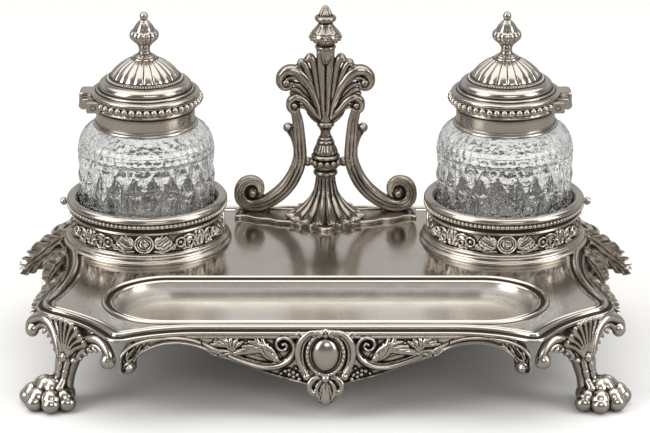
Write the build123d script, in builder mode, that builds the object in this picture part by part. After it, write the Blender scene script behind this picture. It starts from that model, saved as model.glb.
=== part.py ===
from build123d import *
from math import cos, hypot, radians, sin
import os

os.makedirs("parts", exist_ok=True)

# Stand plate: a flat field inside a raised crest, a cove and a lip (lip_height below the field)
plate_top = 44.0
field_thickness = 2.2
straight_half = 60.0
front_edge = 84.5
horn_x, horn_y = 98.0, 95.0
corner_x, corner_y = 137.5, 56.5
waist_x = 123.0
diagonal_hollow = 4.6
corner_radius = 12.0
horn_radius = 3.0
crest_height = 1.5
crest_half = 1.2
cove_reach = 2.5
lip_reach = 4.2
lip_height = 0.4
lip_drop = 1.8

# Pen tray sunk in the front of the plate
tray_y = -48.0
tray_half_length = 107.0
tray_half_width = 31.5
tray_rim = 2.2
tray_shelf = 5.5
tray_depth = 6.6
tray_wall = 2.0
tray_rim_height = 1.2

# Aprons under the lip, and the cartouche on the long ones
apron_thickness = 2.8
apron_inset = 0.6
front_apron_half = 96.8
volute_radius = 4.2
volute_drop = 12.8
arch_end = 50.6
arch_end_drop = 11.2
arch_top_drop = 4.4
apron_point = 12.6
side_apron_half = 44.0
side_point = 22.0
cartouche_half_width = 13.8
cartouche_half_height = 13.0
cartouche_height = 33.5
cartouche_thickness = 3.0
boss_width, boss_height = 7.0, 8.6
boss_rise = 3.4
pendant_tip = 6.5

# Paw feet on the outer corners
foot_x, foot_y = 120.5, 69.0
foot_turn = 228.0
knee_half_width = 16.0
ankle_radius = 5.6
toe_radius = 4.7
toe_reach = 11.0
heel_radius = 8.0
heel_height = 5.6
scroll_reach = 25.6
scroll_radius = 3.1
scroll_thickness = 5.0

# Side leaves that flare from the lip
leaf_tip_x = 150.0
leaf_rise = 6.0

# Bottle holders
holder_x, holder_y = 89.0, 40.5
bottle_radius = 34.0
bottle_play = 1.0
flange_radius = 41.4
flange_height = 4.6
band_thickness = 3.4
frieze_height = 10.0
band_height = 13.6
bead_wire_height = 2.2
bead_wire_reach = 0.9
rim_height = 3.0
rim_reach = 1.5
holder_stud_radius = 1.8
holder_stud_gap = 0.4

# Cut-glass bottles
bottle_height = 60.0
shoulder_drop = 12.5
glass_base = 9.0
glass_wall = 6.0
neck_radius = 22.2
neck_height = 13.5
mouth_radius = 17.5

# Silver collar cemented on the neck
collar_wall = 2.2
collar_lip = 1.4
collar_top = 2.1
bead_ring_radius = 1.7
bead_ring_reach = 2.6

# Hinge and lid
pin_radius = 1.0
pin_clearance = 0.05
knuckle_radius = 2.4
knuckle_half = 5.0
knuckle_gap = 0.15
knuckle_length = 4.0
hinge_reach = 1.3
hinge_drop = 3.2
lid_gap = 0.1
lid_flange_height = 1.9
lid_wall = 1.5
ovolo_radius = 22.8
lid_bead_radius = 18.4
lid_bead_height = 8.3
dome_rise = 10.0
dome_top_radius = 6.0

# Lid finial and its nut
finial_disc = 5.2
finial_neck = 2.7
finial_bulb = 7.2
finial_height = 23.4
tip_ball = 2.0
stem_radius = 1.6
nut_radius = 3.6
nut_height = 2.0

# Carrying handle at the back of the plate
handle_y = 76.5
handle_base_half = 46.0
handle_base_thickness = 1.8
handle_back = 78.9
arm_half_width = 3.5
arm_half_depth = 3.0
arm_foot_x = 34.6
arm_waist_x = 13.1
knob_radius = 2.5
volute_height = 15.0
palmette_base = 49.6
palmette_height = 37.6
palmette_half_width = 25.6
palmette_thickness = 6.0
leaf_foot_height = 21.0
leaf_foot_half = 18.5
baluster_ring = 7.3
side_bead_radius = 2.0
urn_radius = 8.4
handle_finial_height = 23.0
handle_stud_x = 38.0
handle_stud_y = 73.0
stud_radius = 1.6
stud_clearance = 0.1
stud_length = 4.0
handle_nut_radius = 4.0
handle_nut_height = 2.4

crest_top = plate_top + crest_height
field_bottom = plate_top - field_thickness
lip_top = plate_top - lip_height
lip_bottom = lip_top - lip_drop
holder_bore = bottle_radius + bottle_play
neck_base = plate_top + bottle_height
collar_seat = neck_base + neck_height
collar_face = collar_seat + collar_top
collar_outer = neck_radius + collar_wall
ring_outer = collar_outer + bead_ring_reach + bead_ring_radius
lid_base = collar_face + lid_gap
lid_radius = ring_outer - bead_ring_radius
hinge_x = holder_x + ring_outer + hinge_reach
hinge_z = collar_face - hinge_drop


def plate_face(grow):
    """The plate's outline along its crest, grown outwards: a block cut by hollow arcs."""
    margin = 2 * lip_reach
    sweep_rise = horn_y - front_edge
    sweep_radius = ((horn_x - straight_half) ** 2 + sweep_rise**2) / (2 * sweep_rise)
    waist_rise = corner_x - waist_x
    waist_radius = (corner_y**2 + waist_rise**2) / (2 * waist_rise)
    run = hypot(corner_x - horn_x, horn_y - corner_y)
    hollow_radius = ((run / 2) ** 2 + diagonal_hollow**2) / (2 * diagonal_hollow)
    stand_off = (hollow_radius - diagonal_hollow) / run
    hollow_x = (horn_x + corner_x) / 2 + stand_off * (horn_y - corner_y)
    hollow_y = (horn_y + corner_y) / 2 + stand_off * (corner_x - horn_x)
    with BuildSketch() as outline:
        Rectangle(2 * (corner_x + margin), 2 * (horn_y + margin))
        for side in (-1, 1):
            with Locations((0, side * (front_edge + grow + 2 * margin))):
                Rectangle(2 * straight_half, 4 * margin, mode=Mode.SUBTRACT)
            with Locations((side * (waist_x + waist_radius), 0)):
                Circle(waist_radius - grow, mode=Mode.SUBTRACT)
            for end in (-1, 1):
                with Locations((side * straight_half, end * (front_edge + sweep_radius))):
                    Circle(sweep_radius - grow, mode=Mode.SUBTRACT)
                with Locations((side * hollow_x, end * hollow_y)):
                    Circle(hollow_radius - grow, mode=Mode.SUBTRACT)
        tips = outline.vertices().filter_by(lambda v: abs(v.X) > straight_half + 1)
        horns = tips.filter_by(lambda v: abs(v.Y) > front_edge)
        fillet(horns, radius=horn_radius + grow)
        corners = outline.vertices().filter_by(lambda v: abs(v.X) > corner_x - 1)
        fillet(corners, radius=corner_radius + grow)
    return outline.sketch


def keep(piece, name):
    """Name a finished piece and write it."""
    piece.part.label = name
    export_step(piece.part, f"parts/{name}.step")


def mirrored(piece, plane):
    """A finished piece's mirror image."""
    with BuildPart() as image:
        add(piece.part)
        mirror(about=plane, mode=Mode.REPLACE)
    return image


# ---- Stand plate with its pen tray ----
with BuildPart() as base_plate:
    with BuildSketch(Plane.XY.offset(field_bottom)):
        add(plate_face(0))
    extrude(amount=field_thickness)
    with BuildSketch(Plane.XY.offset(lip_bottom)):
        add(plate_face(lip_reach))
        add(plate_face(-crest_half), mode=Mode.SUBTRACT)
    extrude(amount=lip_drop)
    with BuildSketch(Plane.XY.offset(lip_bottom)):
        add(plate_face(cove_reach))
        add(plate_face(-crest_half), mode=Mode.SUBTRACT)
    extrude(amount=lip_drop + lip_height + crest_height / 3)
    with BuildSketch(Plane.XY.offset(lip_bottom)):
        add(plate_face(crest_half))
        add(plate_face(-crest_half), mode=Mode.SUBTRACT)
    extrude(amount=crest_top - lip_bottom)
    with BuildSketch(Plane.XY.offset(plate_top - tray_depth - tray_wall)):
        with Locations((0, tray_y)):
            SlotOverall(2 * (tray_half_length - tray_rim), 2 * (tray_half_width - tray_rim))
    extrude(amount=tray_depth + tray_wall)
    with BuildSketch(Plane.XY.offset(plate_top)):
        with Locations((0, tray_y)):
            SlotOverall(2 * tray_half_length, 2 * tray_half_width)
            SlotOverall(
                2 * (tray_half_length - tray_rim), 2 * (tray_half_width - tray_rim), mode=Mode.SUBTRACT
            )
    extrude(amount=tray_rim_height)
    with BuildSketch(Plane.XY.offset(plate_top)):
        with Locations((0, tray_y)):
            SlotOverall(2 * (tray_half_length - tray_shelf), 2 * (tray_half_width - tray_shelf))
    extrude(amount=-tray_depth, taper=38, mode=Mode.SUBTRACT)
    with BuildSketch(Plane.XY.offset(field_bottom)):
        with Locations((-handle_stud_x, handle_stud_y), (handle_stud_x, handle_stud_y)):
            Circle(stud_radius + stud_clearance)
    extrude(amount=field_thickness, mode=Mode.SUBTRACT)
keep(base_plate, "base_plate")


# ---- Long aprons: two arches that fall to a point under the cartouche ----
def apron_band(low):
    """The wall that follows the lip, as a sketch at the given height."""
    outer = lip_reach - apron_inset
    with BuildSketch(Plane.XY.offset(low)) as band:
        add(plate_face(outer))
        add(plate_face(outer - apron_thickness), mode=Mode.SUBTRACT)
    return band.sketch


with BuildPart() as front_apron:
    add(apron_band(0))
    extrude(amount=lip_bottom)
    with BuildSketch(Plane.XZ):
        volute_z = lip_bottom - volute_drop
        arch_start = front_apron_half - 1.8 * volute_radius
        arch_turn = arch_start - 1.7 * volute_radius
        arch_turn_z = lip_bottom - arch_top_drop - 1.2
        arch_x = (arch_turn + arch_end) / 2 + 3
        with BuildLine():
            Line((-front_apron_half, lip_bottom), (front_apron_half, lip_bottom))
            for side in (-1, 1):
                Line(
                    (side * front_apron_half, lip_bottom),
                    (side * front_apron_half, volute_z),
                )
                Line(
                    (side * front_apron_half, volute_z),
                    (side * arch_start, volute_z),
                )
                ThreePointArc(
                    (side * arch_start, volute_z),
                    (side * (arch_start - 2.6), (volute_z + arch_turn_z) / 2 + 1.6),
                    (side * arch_turn, arch_turn_z),
                )
                ThreePointArc(
                    (side * arch_turn, arch_turn_z),
                    (side * arch_x, lip_bottom - arch_top_drop),
                    (side * arch_end, lip_bottom - arch_end_drop),
                )
                Line((side * arch_end, lip_bottom - arch_end_drop), (0, apron_point))
        make_face()
        with Locations(
            (-front_apron_half + volute_radius, volute_z), (front_apron_half - volute_radius, volute_z)
        ):
            Circle(volute_radius)
    extrude(amount=2 * front_edge, mode=Mode.INTERSECT)
keep(front_apron, "front_apron")
rear_apron = mirrored(front_apron, Plane.XZ)
keep(rear_apron, "rear_apron")

# ---- Side aprons: the same wall in the hollow of each side ----
with BuildPart() as left_apron:
    add(apron_band(0))
    extrude(amount=lip_bottom)
    with BuildSketch(Plane.YZ):
        with BuildLine():
            Line((-side_apron_half, lip_bottom), (side_apron_half, lip_bottom))
            for end in (-1, 1):
                Line((end * side_apron_half, lip_bottom), (end * side_apron_half, lip_bottom - 8))
                ThreePointArc(
                    (end * side_apron_half, lip_bottom - 8),
                    (end * side_apron_half * 0.75, lip_bottom - 4),
                    (end * side_apron_half * 0.5, lip_bottom - 8),
                )
                Line((end * side_apron_half * 0.5, lip_bottom - 8), (0, side_point))
        make_face()
    extrude(amount=-2 * waist_x, mode=Mode.INTERSECT)
keep(left_apron, "left_apron")
right_apron = mirrored(left_apron, Plane.YZ)
keep(right_apron, "right_apron")

# ---- Cartouches: a domed oval boss in a scrolled frame over a pendant leaf ----
with BuildPart() as front_cartouche:
    apron_face = front_edge + lip_reach - apron_inset
    with BuildSketch(Plane.XZ.offset(apron_face)):
        with Locations((0, cartouche_height)):
            Ellipse(cartouche_half_width, cartouche_half_height)
        with BuildLine():
            pendant_top = cartouche_height - 0.6 * cartouche_half_height
            Polyline(
                (-0.7 * cartouche_half_width, pendant_top),
                (-0.62 * cartouche_half_width, pendant_tip + 6),
                (-0.25 * cartouche_half_width, pendant_tip + 3.4),
                (0, pendant_tip),
                (0.25 * cartouche_half_width, pendant_tip + 3.4),
                (0.62 * cartouche_half_width, pendant_tip + 6),
                (0.7 * cartouche_half_width, pendant_top),
                close=True,
            )
        make_face()
    extrude(amount=cartouche_thickness)
    for rise, share in ((0, 1.0), (0.6 * boss_rise, 0.8), (boss_rise, 0.4)):
        with BuildSketch(Plane.XZ.offset(apron_face + cartouche_thickness + rise)):
            with Locations((0, cartouche_height)):
                Ellipse(share * boss_width, share * boss_height)
    loft()
    add(base_plate.part, mode=Mode.SUBTRACT)
keep(front_cartouche, "front_cartouche")
rear_cartouche = mirrored(front_cartouche, Plane.XZ)
keep(rear_cartouche, "rear_cartouche")

# ---- Side leaves: two acanthus lobes that sweep forward and out from the lip ----
lip_side = waist_x + lip_reach


def lobe(sections):
    """A leaf lobe lofted through upright ellipses set along its vein."""
    with BuildPart() as leaf:
        for place, toward, half_width, half_depth in sections:
            with BuildSketch(Plane(origin=place, z_dir=toward, x_dir=(toward[1], -toward[0], 0))):
                Ellipse(half_width, half_depth)
        loft()
    return leaf.part


with BuildPart() as left_leaf:
    sweep_out = (-0.42, -0.9, -0.12)
    add(
        lobe(
            (
                ((-lip_side - 2, 54, 42.0), sweep_out, 4.2, 2.4),
                ((-lip_side - 8, 36, 41.4), sweep_out, 7.4, 3.0),
                ((-leaf_tip_x + 8, 16, 39.6), sweep_out, 6.2, 2.7),
                ((-leaf_tip_x + 3, 3, 38.2), sweep_out, 2.6, 1.8),
            )
        )
    )
    curl_down = (-0.2, -0.97, -0.1)
    add(
        lobe(
            (
                ((-lip_side - 3, 26, 41.0), curl_down, 4.6, 2.6),
                ((-lip_side - 5, 6, 39.6), curl_down, 6.4, 3.0),
                ((-lip_side - 8, -16, 37.8), curl_down, 2.4, 2.0),
            )
        )
    )
    add(
        lobe(
            (
                ((-lip_side - 6, -13, 38.4), curl_down, 2.2, 1.8),
                ((-lip_side - 7, -41, 38.2), curl_down, 3.8, 3.0),
                ((-lip_side - 7, -52, 37.2), curl_down, 3.2, 2.2),
            )
        )
    )
    add(base_plate.part, mode=Mode.SUBTRACT)
    with BuildSketch():
        add(plate_face(lip_reach - apron_inset))
    extrude(amount=plate_top + leaf_rise, mode=Mode.SUBTRACT)
keep(left_leaf, "left_leaf")
right_leaf = mirrored(left_leaf, Plane.YZ)
keep(right_leaf, "right_leaf")

# ---- Feet: a scrolled knee, a leg and a four-toed paw ----
foot_out = (cos(radians(foot_turn)), sin(radians(foot_turn)))
foot_along = (-foot_out[1], foot_out[0])


def foot_point(along, out, height):
    """A point of the foot from its place along the edge, out from it and up."""
    return (
        -foot_x + along * foot_along[0] + out * foot_out[0],
        -foot_y + along * foot_along[1] + out * foot_out[1],
        height,
    )


def toe(knuckle, tip, root_radius, tip_radius):
    """A round-ended toe turned about the line from its knuckle to its tip."""
    line = Vector(*tip) - Vector(*knuckle)
    side = Vector(0, 0, 1).cross(line)
    with BuildPart() as digit:
        with BuildSketch(Plane(origin=knuckle, x_dir=line, z_dir=side)):
            with BuildLine():
                Line((-root_radius, 0), (line.length + tip_radius, 0))
                ThreePointArc(
                    (-root_radius, 0),
                    (-root_radius * sin(radians(45)), root_radius * cos(radians(45))),
                    (0, root_radius),
                )
                Line((0, root_radius), (line.length, tip_radius))
                ThreePointArc(
                    (line.length, tip_radius),
                    (line.length + tip_radius * sin(radians(45)), tip_radius * cos(radians(45))),
                    (line.length + tip_radius, 0),
                )
            make_face()
        revolve(axis=Axis(knuckle, line))
    return digit.part


with BuildPart() as foot_front_left:
    leg = (
        (lip_bottom, 0.0, -8.5, knee_half_width, 5.0),
        (lip_bottom - 8, 0.0, -5.5, 0.92 * knee_half_width, 5.8),
        (lip_bottom - 14, -1.0, -2.0, 0.68 * knee_half_width, 6.0),
        (lip_bottom - 20, -1.6, 1.0, 1.32 * ankle_radius, 5.9),
        (lip_bottom - 28, -2.4, 3.0, 1.04 * ankle_radius, ankle_radius),
        (heel_height + 1.5, -3.4, 6.0, 1.32 * ankle_radius, 1.3 * ankle_radius),
    )
    for height, along, out, half_width, half_depth in leg:
        with BuildSketch(Plane(origin=foot_point(along, out, height), x_dir=(*foot_along, 0))):
            Ellipse(half_width, half_depth)
    loft()
    paw = foot_point(-5.7, 7.8, 9.0)
    for spread in (-52, -3, 41, 82):
        turn = radians(foot_turn + spread)
        tip = (paw[0] + toe_reach * cos(turn), paw[1] + toe_reach * sin(turn), toe_radius - 0.5)
        knuckle = (paw[0] + 3 * cos(turn), paw[1] + 3 * sin(turn), paw[2])
        add(toe(knuckle, tip, toe_radius + 0.3, toe_radius))
    with Locations(foot_point(-3.6, 5.4, heel_height)):
        Sphere(heel_radius)
    with BuildSketch(
        Plane(
            origin=foot_point(0, -scroll_thickness / 2, 0), x_dir=(*foot_along, 0), z_dir=(*foot_out, 0)
        )
    ):
        scroll_z = lip_bottom - 11.0
        for side in (-1, 1):
            tilt = -1.5 * side
            with BuildLine():
                ThreePointArc(
                    (side * 5, lip_bottom - 16),
                    (side * 0.66 * scroll_reach, lip_bottom - 3.4),
                    (side * (scroll_reach + scroll_radius), scroll_z + tilt),
                )
                Line(
                    (side * (scroll_reach + scroll_radius), scroll_z + tilt),
                    (side * (scroll_reach - scroll_radius), scroll_z + tilt),
                )
                ThreePointArc(
                    (side * (scroll_reach - scroll_radius), scroll_z + tilt),
                    (side * 0.62 * scroll_reach, lip_bottom - 9.5),
                    (side * 7, lip_bottom - 18),
                )
                Line((side * 7, lip_bottom - 18), (side * 5, lip_bottom - 16))
            make_face()
            with Locations((side * scroll_reach, scroll_z + tilt)):
                Circle(scroll_radius)
    extrude(amount=scroll_thickness)
    with Locations((-foot_x, -foot_y, -heel_radius)):
        Box(80, 80, 2 * heel_radius, mode=Mode.SUBTRACT)
    add(base_plate.part, mode=Mode.SUBTRACT)
    add(front_apron.part, mode=Mode.SUBTRACT)
    add(left_apron.part, mode=Mode.SUBTRACT)
    add(left_leaf.part, mode=Mode.SUBTRACT)
keep(foot_front_left, "foot_front_left")
foot_front_right = mirrored(foot_front_left, Plane.YZ)
keep(foot_front_right, "foot_front_right")
with BuildPart() as foot_rear_left:
    add(mirrored(foot_front_left, Plane.XZ).part)
    add(left_leaf.part, mode=Mode.SUBTRACT)
keep(foot_rear_left, "foot_rear_left")
foot_rear_right = mirrored(foot_rear_left, Plane.YZ)
keep(foot_rear_right, "foot_rear_right")

# ---- Left bottle holder: foot ring, band, beaded wire and rolled rim ----
holder_plane = Plane(origin=(-holder_x, holder_y, plate_top), x_dir=(1, 0, 0), z_dir=(0, -1, 0))
holder_axis = Axis((-holder_x, holder_y, 0), (0, 0, 1))
band_outer = holder_bore + band_thickness
frieze_base = flange_height
bead_base = frieze_base + band_height
rim_base = bead_base + bead_wire_height
rim_outer = band_outer + rim_reach

with BuildPart() as holder_foot_left:
    with BuildSketch(holder_plane):
        with BuildLine():
            Polyline(
                (band_outer + 0.4, flange_height),
                (holder_bore, flange_height),
                (holder_bore, 0),
                (flange_radius, 0),
                (flange_radius, 0.3 * flange_height),
            )
            ThreePointArc(
                (flange_radius, 0.3 * flange_height),
                (band_outer + 1.4, 0.55 * flange_height),
                (band_outer + 0.4, flange_height),
            )
        make_face()
    revolve(axis=holder_axis)
    add(base_plate.part, mode=Mode.SUBTRACT)
keep(holder_foot_left, "holder_foot_left")

with BuildPart() as holder_band_left:
    with BuildSketch(holder_plane):
        with BuildLine():
            Polyline(
                (holder_bore, bead_base),
                (holder_bore, frieze_base),
                (band_outer, frieze_base),
                (band_outer, frieze_base + frieze_height),
                (band_outer - 1.0, frieze_base + frieze_height + 0.6),
                (band_outer - 1.0, bead_base - 0.8),
                (band_outer - 0.2, bead_base),
                close=True,
            )
        make_face()
    revolve(axis=holder_axis)
keep(holder_band_left, "holder_band_left")

with BuildPart() as holder_bead_wire_left:
    with BuildSketch(holder_plane):
        with BuildLine():
            Polyline(
                (holder_bore, rim_base),
                (holder_bore, bead_base),
                (band_outer, bead_base),
                (band_outer + bead_wire_reach, bead_base + 0.3 * bead_wire_height),
                (band_outer + bead_wire_reach, bead_base + 0.7 * bead_wire_height),
                (band_outer, rim_base),
                close=True,
            )
        make_face()
    revolve(axis=holder_axis)
    stud_x = -holder_x - rim_outer - holder_stud_gap
    stud_z = plate_top + bead_base + bead_wire_height / 2
    with BuildSketch(Plane.YZ.offset(stud_x)):
        with Locations((holder_y, stud_z)):
            Circle(0.4 * bead_wire_height)
    extrude(until=Until.NEXT)
    with BuildSketch(Plane(origin=(stud_x, holder_y, stud_z), z_dir=(-1, 0, 0))):
        Circle(holder_stud_radius)
    extrude(amount=holder_stud_radius, taper=20)
keep(holder_bead_wire_left, "holder_bead_wire_left")

with BuildPart() as holder_rim_left:
    with BuildSketch(holder_plane):
        with BuildLine():
            Line((rim_outer, rim_base), (holder_bore, rim_base))
            ThreePointArc(
                (holder_bore, rim_base),
                ((rim_outer + holder_bore) / 2, rim_base + rim_height),
                (rim_outer, rim_base),
            )
        make_face()
    revolve(axis=holder_axis)
keep(holder_rim_left, "holder_rim_left")

# ---- Left bottle: heavy glass with a straight ink well and a short neck ----
with BuildPart() as bottle_left:
    well_radius = bottle_radius - glass_wall
    with BuildSketch(holder_plane):
        with BuildLine():
            shoulder_z = bottle_height - shoulder_drop
            Polyline(
                (0, glass_base),
                (0, 0),
                (bottle_radius - 2, 0),
                (bottle_radius, 2),
                (bottle_radius, shoulder_z),
            )
            ThreePointArc(
                (bottle_radius, shoulder_z),
                (bottle_radius - 2.6, bottle_height - 3.4),
                (collar_outer + collar_lip, bottle_height),
            )
            Polyline(
                (collar_outer + collar_lip, bottle_height),
                (neck_radius, bottle_height),
                (neck_radius, bottle_height + neck_height),
                (mouth_radius, bottle_height + neck_height),
                (mouth_radius, bottle_height - 2),
            )
            ThreePointArc(
                (mouth_radius, bottle_height - 2),
                (well_radius - 1.6, shoulder_z + 5),
                (well_radius, shoulder_z),
            )
            Polyline(
                (well_radius, shoulder_z),
                (well_radius, glass_base + 3),
                (well_radius - 3, glass_base),
                (0, glass_base),
            )
        make_face()
    revolve(axis=holder_axis)
keep(bottle_left, "bottle_left")

# ---- Left collar: a lipped band with a bead ring and two hinge knuckles ----
collar_plane = Plane(origin=(-holder_x, holder_y, 0), x_dir=(1, 0, 0), z_dir=(0, -1, 0))
hinge_plane = Plane(origin=(-hinge_x, holder_y, hinge_z), x_dir=(1, 0, 0), z_dir=(0, -1, 0))
knuckle_faces = (knuckle_half + knuckle_gap, -knuckle_half - knuckle_gap - knuckle_length)

with BuildPart() as collar_left:
    ring_z = collar_face - 1.1 * bead_ring_radius
    with BuildSketch(collar_plane):
        with BuildLine():
            Polyline(
                (mouth_radius, collar_seat),
                (neck_radius, collar_seat),
                (neck_radius, neck_base),
                (collar_outer + collar_lip, neck_base),
                (collar_outer + collar_lip, neck_base + 1.2),
                (collar_outer, neck_base + 2.4),
                (collar_outer, ring_z - 4.6),
                (collar_outer + collar_lip, ring_z - 4.0),
                (collar_outer + collar_lip, ring_z - 2.4),
                (collar_outer + bead_ring_reach, ring_z - 1.6),
                (collar_outer + bead_ring_reach, collar_face),
                (mouth_radius, collar_face),
                close=True,
            )
        make_face()
        with Locations((collar_outer + bead_ring_reach, ring_z)):
            Circle(bead_ring_radius)
    revolve(axis=holder_axis)
    with Locations((-hinge_x, holder_y, hinge_z)):
        Box(
            2 * (hinge_reach + knuckle_radius + bead_ring_radius),
            2 * (knuckle_half + knuckle_gap),
            20,
            mode=Mode.SUBTRACT,
        )
    for face in knuckle_faces:
        with BuildSketch(hinge_plane.offset(face)):
            Circle(knuckle_radius)
            with Locations((0, -knuckle_radius)):
                Rectangle(
                    hinge_x - holder_x - neck_radius,
                    collar_face - hinge_z + knuckle_radius,
                    align=(Align.MIN, Align.MIN),
                )
        extrude(amount=knuckle_length)
        with BuildSketch(hinge_plane.offset(face)):
            Circle(pin_radius)
        extrude(amount=knuckle_length, mode=Mode.SUBTRACT)
    with BuildSketch(collar_plane):
        with Locations((0, neck_base - 1)):
            Rectangle(neck_radius, neck_height + 1, align=(Align.MIN, Align.MIN))
    revolve(axis=holder_axis, mode=Mode.SUBTRACT)
keep(collar_left, "collar_left")

with BuildPart() as hinge_pin_left:
    pin_half = knuckle_half + knuckle_gap + knuckle_length
    with BuildSketch(hinge_plane.offset(-pin_half)):
        Circle(pin_radius)
    extrude(amount=2 * pin_half)
keep(hinge_pin_left, "hinge_pin_left")

# ---- Left lid: a flanged shell with a stepped ovolo, a bead line and a dome ----
with BuildPart() as lid_left:
    shoulder_z = lid_base + lid_flange_height + 1.6
    bead_z = lid_base + lid_bead_height
    dome_z = bead_z + dome_rise
    dome_middle = (0.76 * lid_bead_radius, bead_z + 0.56 * dome_rise)
    with BuildSketch(collar_plane):
        with BuildLine():
            Polyline(
                (stem_radius, dome_z - lid_wall),
                (stem_radius, dome_z),
                (dome_top_radius, dome_z),
            )
            ThreePointArc((dome_top_radius, dome_z), dome_middle, (lid_bead_radius - 0.8, bead_z + 0.6))
            Polyline(
                (lid_bead_radius - 0.8, bead_z + 0.6),
                (lid_bead_radius, bead_z + 0.6),
                (lid_bead_radius, bead_z - 0.6),
            )
            ThreePointArc(
                (lid_bead_radius, bead_z - 0.6),
                (ovolo_radius - 0.9, shoulder_z + 2.6),
                (ovolo_radius, shoulder_z + 0.5),
            )
            Polyline(
                (ovolo_radius, shoulder_z + 0.5),
                (ovolo_radius + 1.0, shoulder_z),
                (ovolo_radius + 1.0, shoulder_z - 0.6),
                (lid_radius, lid_base + lid_flange_height),
                (lid_radius, lid_base),
                (mouth_radius, lid_base),
                (mouth_radius, bead_z - 2),
            )
            ThreePointArc(
                (mouth_radius, bead_z - 2),
                (dome_middle[0] - lid_wall, dome_middle[1] - lid_wall),
                (dome_top_radius - 1.0, dome_z - lid_wall),
            )
            Line((dome_top_radius - 1.0, dome_z - lid_wall), (stem_radius, dome_z - lid_wall))
        make_face()
    revolve(axis=holder_axis)
    arm_top = lid_base + lid_flange_height - hinge_z
    with BuildSketch(hinge_plane.offset(-knuckle_half)):
        Circle(knuckle_radius)
        with BuildLine():
            Polyline(
                (-knuckle_radius, 0),
                (-0.8 * knuckle_radius, arm_top - 0.8),
                (-0.4 * knuckle_radius, arm_top),
                (hinge_x - holder_x - ovolo_radius - 1, arm_top),
                (hinge_x - holder_x - ovolo_radius - 1, lid_base - hinge_z),
                (knuckle_radius, lid_base - hinge_z),
                (knuckle_radius, 0),
                close=True,
            )
        make_face()
    extrude(amount=2 * knuckle_half)
    with BuildSketch(hinge_plane.offset(-knuckle_half)):
        Circle(pin_radius + pin_clearance)
    extrude(amount=2 * knuckle_half, mode=Mode.SUBTRACT)
keep(lid_left, "lid_left")

# ---- Left finial and the nut that holds it inside the lid ----
with BuildPart() as lid_finial_left:
    with BuildSketch(collar_plane):
        with BuildLine():
            bulb_z = dome_z + 0.47 * finial_height
            tip_z = dome_z + finial_height
            Polyline(
                (0, dome_z - lid_wall - nut_height - 1.2),
                (stem_radius, dome_z - lid_wall - nut_height - 1.2),
                (stem_radius, dome_z),
                (finial_disc, dome_z),
                (finial_disc, dome_z + 1.0),
            )
            ThreePointArc(
                (finial_disc, dome_z + 1.0),
                (finial_neck + 0.5, dome_z + 2.6),
                (finial_neck, dome_z + 0.19 * finial_height),
            )
            ThreePointArc(
                (finial_neck, dome_z + 0.19 * finial_height),
                (finial_neck + 0.4, bulb_z - 4.4),
                (finial_bulb - 1.2, bulb_z - 2.4),
            )
            ThreePointArc(
                (finial_bulb - 1.2, bulb_z - 2.4), (finial_bulb, bulb_z), (finial_bulb - 1.5, bulb_z + 2.2)
            )
            ball_neck = (tip_ball * sin(radians(45)), tip_z - tip_ball * (1 + cos(radians(45))))
            ThreePointArc((finial_bulb - 1.5, bulb_z + 2.2), (3.4, bulb_z + 5.6), ball_neck)
            ThreePointArc(ball_neck, (tip_ball, tip_z - tip_ball), (0, tip_z))
            Line((0, tip_z), (0, dome_z - lid_wall - nut_height - 1.2))
        make_face()
    revolve(axis=holder_axis)
keep(lid_finial_left, "lid_finial_left")

with BuildPart() as finial_nut_left:
    with BuildSketch(Plane(origin=(-holder_x, holder_y, dome_z - lid_wall - nut_height))):
        RegularPolygon(nut_radius, 6)
        Circle(stem_radius, mode=Mode.SUBTRACT)
    extrude(amount=nut_height)
keep(finial_nut_left, "finial_nut_left")

left_pieces = {
    "holder_foot": holder_foot_left,
    "holder_band": holder_band_left,
    "holder_bead_wire": holder_bead_wire_left,
    "holder_rim": holder_rim_left,
    "bottle": bottle_left,
    "collar": collar_left,
    "hinge_pin": hinge_pin_left,
    "lid": lid_left,
    "lid_finial": lid_finial_left,
    "finial_nut": finial_nut_left,
}
for name, piece in left_pieces.items():
    keep(mirrored(piece, Plane.YZ), f"{name}_right")

# ---- Handle base: a cast foot plate with a waved front edge, held by two studs ----
handle_plane = Plane(origin=(0, handle_y, plate_top), x_dir=(1, 0, 0), z_dir=(0, -1, 0))
handle_axis = Axis((0, handle_y, 0), (0, 0, 1))

with BuildPart() as handle_base:
    with BuildSketch(Plane.XY.offset(plate_top)):
        with BuildLine():
            Line((-handle_base_half, handle_back), (handle_base_half, handle_back))
            for side in (-1, 1):
                wave = (
                    (side * handle_base_half, handle_back - 12),
                    (side * 0.62 * handle_base_half, handle_back - 18),
                    (side * 0.26 * handle_base_half, handle_back - 25),
                    (0, handle_back - 32),
                )
                Line((side * handle_base_half, handle_back), wave[0])
                ThreePointArc(wave[0], (side * 0.8 * handle_base_half, handle_back - 14.5), wave[1])
                ThreePointArc(wave[1], (side * 0.45 * handle_base_half, handle_back - 22), wave[2])
                Line(wave[2], wave[3])
        make_face()
    extrude(amount=handle_base_thickness)
    with BuildSketch(Plane.XY.offset(plate_top)):
        with Locations((-handle_stud_x, handle_stud_y), (handle_stud_x, handle_stud_y)):
            Circle(stud_radius)
    extrude(amount=-field_thickness - stud_length)
keep(handle_base, "handle_base")

with BuildPart() as handle_nuts:
    with BuildSketch(Plane.XY.offset(field_bottom)):
        with Locations((-handle_stud_x, handle_stud_y), (handle_stud_x, handle_stud_y)):
            RegularPolygon(handle_nut_radius, 6)
            Circle(stud_radius, mode=Mode.SUBTRACT)
    extrude(amount=-handle_nut_height)
keep(handle_nuts, "handle_nuts")

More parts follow.
